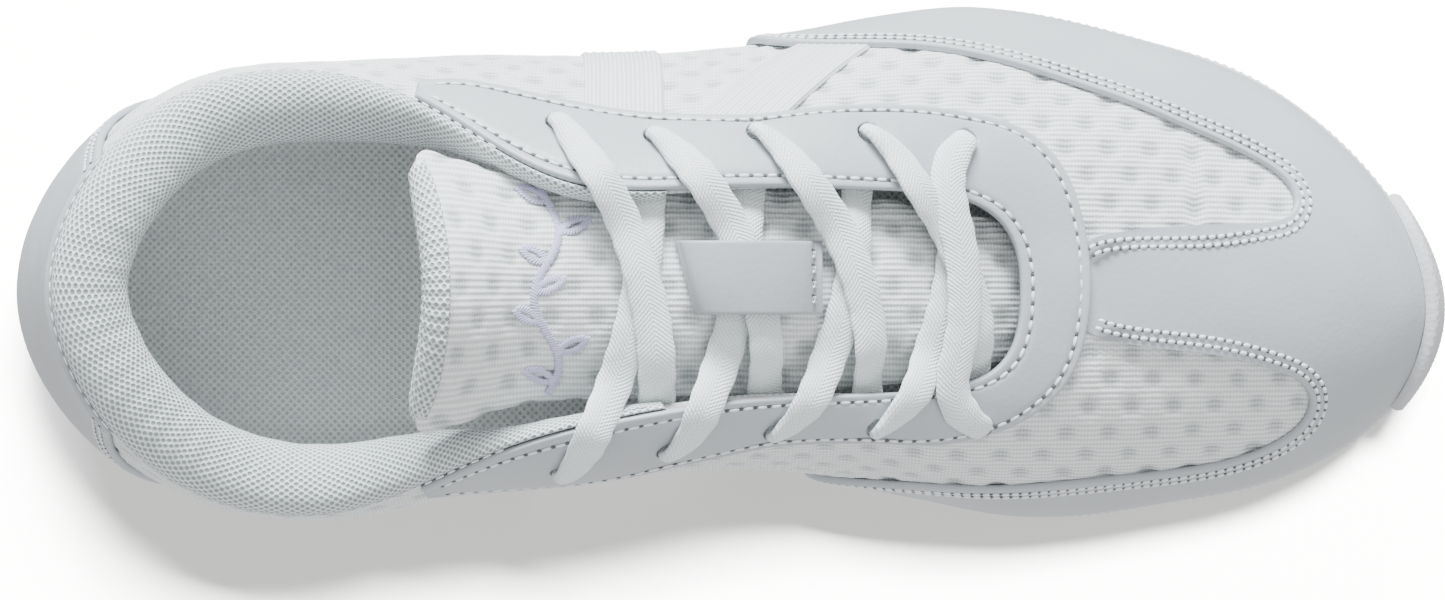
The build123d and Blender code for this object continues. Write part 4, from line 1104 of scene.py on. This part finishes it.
def ribbon_mesh(points, normals, widths, thick=LACE_THICK, count=110, seed=0.0):
    """A flat woven band with rounded edges, as points, faces and UVs in mm."""
    points, normals = np.array(points, float), np.array(normals, float)
    reach = np.r_[0, np.cumsum(np.linalg.norm(np.diff(points, axis=0), axis=1))]
    q = np.linspace(0, reach[-1], count)
    path = open_spline(np.column_stack([reach, points]))(q)
    n = np.stack([np.interp(q, reach, normals[:, k]) for k in range(3)], -1)
    half = np.interp(q / reach[-1], np.linspace(0, 1, len(widths)), widths)[:, None] / 2
    across = path[:, 1] - TONGUE_CENTRE_Y
    clear = tongue_skin(path[:, 0], path[:, 1]) + thick / 2 + 0.15
    on_tongue = (np.abs(across) < tongue_half(path[:, 0]) + 1) & (path[:, 0] > TONGUE_X[1])
    path[:, 2] = np.where(on_tongue, np.maximum(path[:, 2], clear), path[:, 2])
    along = unit(np.gradient(path, axis=0))
    side = unit(np.cross(n, along))
    tilt = 0.16 * np.sin(q * 0.11 + seed)[:, None]
    up = unit(np.cross(along, side))
    side, up = side * np.cos(tilt) + up * np.sin(tilt), up * np.cos(tilt) - side * np.sin(tilt)
    ring = np.linspace(0, 2 * math.pi, 28, endpoint=False)
    flat = np.sign(np.cos(ring)) * np.abs(np.cos(ring)) ** 0.75
    tall = np.sign(np.sin(ring)) * np.abs(np.sin(ring)) ** 0.9
    gather = np.clip(LACE_WIDTH / (2 * half), 1, 1.5)
    wave = 1 + 0.03 * np.sin(q * 1.3 + seed)[:, None]
    offset_side = (half * wave)[..., None] * flat[None, :, None]
    cup = -0.25 * (flat ** 2)[None, :, None]
    offset_up = (thick / 2 * gather)[..., None] * tall[None, :, None] + cup
    verts = path[:, None] + side[:, None] * offset_side + up[:, None] * offset_up
    rows, cols = count, len(ring)
    faces = []
    i = np.arange(rows - 1)[:, None] * cols
    j = np.arange(cols)[None, :]
    faces = np.stack([i + j, i + (j + 1) % cols, i + cols + (j + 1) % cols, i + cols + j], -1).reshape(-1, 4).tolist()
    faces.append(list(range(cols))[::-1])
    faces.append([(rows - 1) * cols + k for k in range(cols)])
    uv = np.stack([q[:, None] + 0 * flat[None], (half * flat[None])], -1)
    return verts.reshape(-1, 3), faces, uv.reshape(-1, 2)


def throat_station(x, lateral):
    """Station on the throat's edge at this X."""
    s = np.linspace(4.0, 9.8, 120) if lateral else np.linspace(16.0, 10.2, 120)
    return float(np.interp(x, edge_at(s)[:, 0], s))


def lace_run(start, end, lift, seed):
    """From under one side of the throat, over the tongue and the other side, down into its eyelet."""
    to_lateral = end[0] < 10
    leave_s = throat_station(surface(*start)[0] + LACE_LEAVE, not to_lateral)
    arrive_s = throat_station(surface(*end)[0] + LACE_ARRIVE[0 if to_lateral else 1], to_lateral)
    leave, arrive = upper(leave_s, 0.985, -UNDER_LACE), upper(arrive_s, 1.0, OVER_EDGE)
    p = [upper(*start, -UNDER_LACE), leave]
    n = [normal(*start), normal(leave_s, 0.985)]
    for share in (0.2, 0.35, 0.5, 0.65, 0.8):
        q = leave + (arrive - leave) * np.array([share ** 2, share, share])
        sag = 0.8 * ((share - 0.5) / 0.3) ** 2
        crown = tongue_at(q[0], 0.0, sag - LACE_THICK / 2 - 0.3 - lift)
        p.append(np.array([float(crown[0]), q[1], float(crown[2])]))
        n.append(unit(crown - tongue_at(q[0], 0.0, 0.8)))
    lean = unit(end_direction(end))
    aim = normal(*end)
    p += [arrive, upper(end[0] + (arrive_s - end[0]) * 0.3, end[1] + 0.05, OVER_LACE - 0.1), upper(*end, 1.5),
          upper(end[0], end[1] - 0.006, -0.4), upper(end[0], end[1], -4.0)]
    n += [normal(arrive_s, 0.985), aim, unit(aim + lean), lean, lean]
    full = LACE_WIDTH
    widths = [full * 0.9] + [full] * 15 + [full * 0.92, full * 0.78, full * 0.6, full * 0.5, full * 0.48]
    return ribbon_mesh(p, n, widths, seed=seed)


def end_direction(eyelet):
    """Outwards along the surface, away from the throat, at an eyelet."""
    return surface(eyelet[0], eyelet[1] - 0.02) - surface(eyelet[0], eyelet[1] + 0.02)


def lace_bar(seed=0.4):
    a, b = EYELETS_LATERAL[-1], EYELETS_MEDIAL[-1]
    p, n = [], []
    for eyelet, d, dv in ((a, -4.0, 0), (a, -0.4, -0.006), (a, 1.5, 0), (a, OVER_LACE - 0.1, 0.06)):
        p.append(upper(eyelet[0], eyelet[1] + dv, d))
    lean = unit(end_direction(a))
    n += [lean, lean, unit(normal(*a) + lean), normal(*a)]
    p.append(upper(a[0] + 0.2, 0.985, OVER_LACE))
    n.append(normal(a[0], 0.985))
    far = upper(b[0] - 0.2, 0.985, OVER_LACE)
    for share, bow in ((0.3, 1.9), (0.5, 2.4), (0.7, 1.9)):
        p.append(p[4] + (far - p[4]) * share + np.array([bow, 0, 0.5]))
        n.append(np.array([0.25, 0, 1.0]))
    p.append(far)
    n.append(normal(b[0], 0.985))
    lean = unit(end_direction(b))
    for d, dv in ((OVER_LACE - 0.1, 0.06), (1.5, 0), (-0.4, -0.006), (-4.0, 0)):
        p.append(upper(b[0], b[1] + dv, d))
    n += [normal(*b), unit(normal(*b) + lean), lean, lean]
    full = LACE_WIDTH
    widths = [full * 0.48, full * 0.6, full * 0.8] + [full] * 12 + [full * 0.8, full * 0.6, full * 0.48]
    return ribbon_mesh(p, n, widths, count=130, seed=seed)


def lace_tail(eyelet, seed):
    """A lace end: from its top eyelet down inside the shoe along the lining."""
    v = np.linspace(eyelet[1], 0.62, 6)
    depth = 1.8 + 0.7 + 0.7 + LACE_THICK / 2 + 0.4
    p = [upper(eyelet[0], q, -(depth if i else UNDER_LACE)) for i, q in enumerate(v)]
    n = [normal(eyelet[0], q) for q in v]
    full = LACE_WIDTH
    return ribbon_mesh(p, n, [full * 0.6, full, full, full, full * 0.5, full * 0.45], count=50, seed=seed)


def lace_piece(name, parts, body="root", hides=()):
    points, faces, uvs, start = [], [], [], 0
    for verts, quads, uv in parts:
        points.append(verts)
        uvs.append(uv)
        faces += [tuple(i + start for i in f) for f in quads]
        start += len(verts)
    return new_piece(name, np.concatenate(points), faces, LACE_CLOTH, uv=np.concatenate(uvs), body=body,
                     slot="lace_weave", hides=hides)


def half_of(part, side):
    """The faces of a lace run on one side of the tongue's middle line."""
    verts, faces, uv = part
    middle = np.array([np.mean(verts[list(f), 1]) for f in faces])
    chosen = [f for f, y in zip(faces, middle) if (y - TONGUE_CENTRE_Y) * side > 0]
    used = sorted({i for f in chosen for i in f})
    place = {old: new for new, old in enumerate(used)}
    return verts[used], [tuple(place[i] for i in f) for f in chosen], uv[used]


def make_laces():
    free = [lace_bar()]
    held = []
    for k in range(4, 0, -1):
        runs = [lace_run(EYELETS_LATERAL[k], EYELETS_MEDIAL[k - 1], 0.0, k * 1.1),
                lace_run(EYELETS_MEDIAL[k], EYELETS_LATERAL[k - 1], CROSSING, k * 1.7 + 2)]
        (held if k == 2 else free).extend(runs)
    free += [lace_tail(EYELETS_LATERAL[0], 0.0), lace_tail(EYELETS_MEDIAL[0], 1.0)]
    lace_piece("lace_free", free, hides=("lace",))
    middle = (surface(5.8, 1.0) + surface(14.2, 1.0)) / 2
    for name, side, rim_y in (("lace_under_keeper_lateral", 1, 12.0), ("lace_under_keeper_medial", -1, -25.0)):
        piece = lace_piece(name, [half_of(part, side) for part in held], body=None)
        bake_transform(piece)


# ---------------------------------------------------------------- sole
SOLE_RIM = 2.3
FOREFOOT_REAR = (108.0, -1.0, 42.0)     # the circle that shapes the front unit's rear edge: x, y, radius
HEEL_FRONT = (117.0, -4.0, 32.0)
OUTSOLE_THICK = 3.5


def unit_ring(s_range, circle, keep_above, count=420):
    """Closed plan outline of one sole unit, with its inner edge shaped by the arch's circle."""
    s = np.linspace(*s_range, 260)
    rim = bottom_at(s) + outward_at(s) * SOLE_RIM
    gap = np.linspace(rim[-1], rim[0], 80)[1:-1]
    reach = np.sqrt(np.clip(circle[2] ** 2 - (gap[:, 1] - circle[1]) ** 2, 0, None))
    arc_x = circle[0] + reach if keep_above else circle[0] - reach
    gap[:, 0] = np.maximum(gap[:, 0], arc_x) if keep_above else np.minimum(gap[:, 0], arc_x)
    ring = np.concatenate([rim, gap])
    closed = np.concatenate([ring, ring[:1]])
    length = np.r_[0, np.cumsum(np.linalg.norm(np.diff(closed, axis=0), axis=1))]
    q = np.linspace(0, length[-1], count, endpoint=False)
    ring = np.stack([np.interp(q, length, closed[:, k]) for k in (0, 1)], -1)
    for _ in range(3):
        ring = (np.roll(ring, 1, 0) + 2 * ring + np.roll(ring, -1, 0)) / 4
    return ring, q


def make_midsole(name, s_range, circle, keep_above, underside, hides):
    """Moulded foam wall: a fine ribbed band under the upper, a shallow waist and a bead over the tread."""
    ring, q = unit_ring(s_range, circle, keep_above)
    tangent = unit(np.roll(ring, -1, 0) - np.roll(ring, 1, 0))
    out = np.stack([tangent[:, 1], -tangent[:, 0]], -1)
    area = np.sum(ring[:, 0] * np.roll(ring[:, 1], -1) - ring[:, 1] * np.roll(ring[:, 0], -1))
    out = out if area > 0 else -out
    low = underside(ring[:, 0]) + OUTSOLE_THICK + 0.05
    high = sole_top(ring[:, 0]) - 0.35
    # level (0 at the tread, 1 at the upper) and how far the wall stands in from the outline
    profile = [(0.0, 0.9), (0.02, 0.35), (0.06, 0.05), (0.12, 0.0), (0.17, 0.25), (0.20, 0.9), (0.23, 1.05),
               (0.35, 1.15), (0.50, 1.1), (0.62, 0.9), (0.68, 0.75), (0.705, 0.3), (0.74, 0.05), (0.80, 0.0),
               (0.86, 0.0), (0.92, 0.02), (0.96, 0.12), (0.985, 0.4), (1.0, 0.95)]
    levels = []
    for level, inset in profile:
        rib = 0.22 * np.cos(q * 2 * math.pi / 1.7) if 0.73 < level < 0.94 else 0.0
        place = ring - out * (np.asarray(inset) - rib)[..., None] if np.ndim(rib) else ring - out * inset
        levels.append(np.column_stack([place, low + (high - low) * level]))
    for inset, side in ((4.0, 1), (12.0, 1)):
        levels.append(np.column_stack([ring - out * inset * np.minimum(1, 1.0), high - 0.3]))
    grid = np.stack(levels, 1)
    rows, cols = grid.shape[:2]
    faces = grid_quads(rows, cols, wrap=True).tolist()
    points = grid.reshape(-1, 3)
    faces.append([i * cols for i in range(rows)])
    faces.append([i * cols + cols - 3 for i in range(rows)][::-1])
    points_used = points
    faces = [f for f in faces if not any((k % cols) > cols - 3 for k in f)]
    uv = np.stack([q[:, None] + 0 * grid[..., 0], grid[..., 2]], -1)
    piece = new_piece(name, points_used, faces, FOAM, uv=uv, slot="midsole_foam", hides=hides)
    shell = bmesh.new()
    shell.from_mesh(piece.data)
    bmesh.ops.delete(shell, geom=[v for v in shell.verts if not v.link_faces], context="VERTS")
    bmesh.ops.recalc_face_normals(shell, faces=shell.faces)
    shell.to_mesh(piece.data)
    shell.free()
    return piece


def make_toe_bumper():
    middle, half = 10.05, 0.56
    s = np.linspace(middle - half, middle + half, 150)[:, None]
    high = 0.15 * np.sqrt(np.clip(1 - np.abs((s - middle) / (half + 0.01)) ** 2.4, 0.0, 1)) + 0.012
    t = np.linspace(0, 1, 40)[None, :]
    v = 0.001 + high * t
    s = s + 0 * v
    near = np.minimum((1 - t) * high * 60, (half - np.abs(s - middle)) * 30)
    full = np.sqrt(np.clip(1 - (1 - np.clip(near / 1.2, 0, 1)) ** 2, 0, 1))
    pebble = 0.16 * (1 - smooth_step(lattice_distance(s * 30, v * 62, (1.5, 1.4)), 0.1, 0.65)) * full
    d = 1.35 + 2.0 * full + pebble
    uv = np.stack([s * 30, v * 62], -1)
    sheet_piece("toe_bumper_rubber", upper(s, v, d), upper(s, v, 0 * d + 1.3), RUBBER, uv, slot="sole_rubber",
                hides=("toe_bumper",))


def make_insole():
    """The sockliner: a cloth-covered foam sheet, cupped up against the lining all round."""
    s = np.linspace(0, 20, 800)
    from_heel = np.minimum(s, 20 - s)
    deep = 1.8 + 0.7 * (1 - smooth_step(from_heel, 3.1, 4.2)) + 0.7
    rim = upper(s, 0.10 + 0 * s, -(deep + 0.2))
    lateral, medial = rim[s <= 10], rim[s >= 10][::-1]
    rear = max(lateral[:, 0].min(), medial[:, 0].min()) + 0.3
    front = min(lateral[:, 0].max(), medial[:, 0].max()) - 0.3
    x = (rear + (front - rear) * (1 - np.cos(np.linspace(0, math.pi, 150))) / 2)[:, None]
    across = np.sin(np.linspace(-1, 1, 70) * math.pi / 2)[None, :]
    rise = lambda line: np.interp(x, *line[np.argsort(line[:, 0])][:, :2].T)
    y = (rise(lateral) + rise(medial)) / 2 + (rise(lateral) - rise(medial)) / 2 * across
    x = x + 0 * y
    room = np.minimum((1 - np.abs(across)) * 32, np.minimum(x - rear, front - x))
    z = sole_top(x) + 5.0 + 3.2 * (1 - smooth_step(room, 0.0, 9.0)) ** 2 + 0.15 * ripple(x, y, 18.0, 7.0)
    top = np.stack([x, y, z], -1)
    under = top - np.array([0, 0, 3.6])
    sheet_piece("insole_sheet", top, under, INSOLE_CLOTH, top[..., :2], slot="insole_fabric", hides=("insole",))


# ---------------------------------------------------------------- tongue ornament
def make_ornament():
    """A generic trailing vine in pale satin stitch near the tongue's free edge."""
    runs = []
    y = np.linspace(-24, 12, 90)
    x = 103 + 2.2 * np.sin((y + 24) / 36 * 3.2 * math.pi)

    def on_tongue(px, py, depth=-0.15):
        w = (py - TONGUE_CENTRE_Y) / tongue_half(px)
        return tongue_at(px, w, depth), unit(tongue_at(px, w, -1.0) - tongue_at(px, w, 0.0))

    points, n = on_tongue(x, y)
    runs.append(stitch_run(points, n, 0.5, 1.9, 0.27, slant=1.1))
    for k in range(7):
        cy = -21.5 + k * 5.2
        cx = 103 + 2.2 * math.sin((cy + 24) / 36 * 3.2 * math.pi)
        side = 1 if k % 2 else -1
        t = np.linspace(0, 1, 24)
        for bend in (-1, 1):
            leaf_x = cx + side * 5.4 * t
            leaf_y = cy + 2.0 * t + bend * 0.95 * np.sin(t * math.pi)
            points, n = on_tongue(leaf_x, leaf_y)
            runs.append(stitch_run(points, n, 0.5, 1.8, 0.26, slant=0.9))
    thread_piece("tongue_ornament", runs, LILAC_THREAD, body="tongue", slot="woven_tape")


# ---------------------------------------------------------------- carried-over CAD nodes, stage, light and camera
def dress_frame():
    looks = {"forefoot_outsole": RUBBER, "heel_outsole": RUBBER, "arch_plate": SATIN_PLASTIC, "insole_board": BOARD,
             "eyestay_backing": SHEET_PLASTIC, "toe_puff": SHEET_PLASTIC, "heel_counter": SHEET_PLASTIC,
             "lace_aglets": FILM}
    for node, material in looks.items():
        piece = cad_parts[node]
        piece.data.materials.clear()
        piece.data.materials.append(material)


def make_stage():
    n = Nodes("studio_floor", (0.93, 0.92, 0.90), 0.95)
    grain = n.noise(n.place, 30, 2.0)
    n.colour(n.mix(grain, (0.90, 0.885, 0.85), (0.91, 0.895, 0.86)))
    mesh = bpy.data.meshes.new("studio_floor")
    half = 3.0
    mesh.from_pydata([(-half, -half, -0.0002), (half, -half, -0.0002), (half, half, -0.0002), (-half, half, -0.0002)],
                     [], [(0, 1, 2, 3)])
    mesh.materials.append(n.material)
    floor = bpy.data.objects.new("studio_floor", mesh)
    bpy.context.scene.collection.objects.link(floor)
    floor.visible_diffuse = False
    floor.visible_glossy = False
    only_floor = bpy.data.collections.new("only_floor")
    only_floor.objects.link(floor)
    wash = area_light("floor_wash", (0.14, 0.5, 1.6), (0, 0, 0), (0.3, 0.3), 470)
    wash.light_linking.receiver_collection = only_floor
    world = bpy.data.worlds.new("studio")
    world.use_nodes = True
    world.node_tree.nodes["Background"].inputs["Color"].default_value = (0.97, 0.985, 1.0, 1)
    world.node_tree.nodes["Background"].inputs["Strength"].default_value = 1.02
    bpy.context.scene.world = world


def area_light(name, place, target, size, power, colour=(1, 1, 1)):
    lamp = bpy.data.lights.new(name, "AREA")
    lamp.shape = "RECTANGLE"
    lamp.size, lamp.size_y = size
    lamp.energy = power
    lamp.color = colour
    lamp_object = bpy.data.objects.new(name, lamp)
    bpy.context.scene.collection.objects.link(lamp_object)
    lamp_object.location = place
    lamp_object.rotation_euler = (Vector(target) - Vector(place)).to_track_quat("-Z", "Y").to_euler()
    return lamp_object


def make_light_and_camera():
    area_light("key", (-0.12, 1.6, 0.75), (0, 0, 0.05), (1.0, 0.5), 120,
               (0.90, 0.965, 1.0))
    area_light("fill", (0.9, -1.1, 1.4), (0, 0, 0.03), (1.2, 1.2), 8)
    camera = bpy.data.cameras.new("camera")
    camera.sensor_width = 36
    camera.lens = 102.4
    camera.clip_start = 0.01
    camera_object = bpy.data.objects.new("camera", camera)
    camera_object.location = (-0.0021, -0.0072, 0.8)
    bpy.context.scene.collection.objects.link(camera_object)
    bpy.context.scene.camera = camera_object


def make_sole():
    rise = lambda x: 9.0 * np.clip((x - 208.0) / 62.0, 0, 1.1) ** 2
    roll_off = lambda x: 3.0 * (1 - smooth_step(x, 0, 16))
    make_midsole("forefoot_foam", (5.75, 14.45), FOREFOOT_REAR, True, rise, ("forefoot_midsole",))
    make_midsole("heel_foam", (-4.0, 4.0), HEEL_FRONT, False, roll_off, ("heel_midsole",))
    make_toe_bumper()
    make_insole()


make_light_and_camera()
dress_frame()
make_stage()
make_knit_upper("knit_lateral", (0.01, 9.99), ("mesh_upper_lateral",))
make_knit_upper("knit_medial", (19.99, 10.01), ("mesh_upper_medial",))
make_toe_cap()
make_eyestay()
make_heel_patch()
make_bands()
make_lining("lining_cloth_lateral", (0.02, 9.98), ("lining_lateral",))
make_lining("lining_cloth_medial", (10.02, 19.98), ("lining_medial",))
make_collar()
make_tongue()
make_tongue_binding()
make_keeper()
make_ornament()
make_laces()
make_sole()
make_needle_pit_shade()
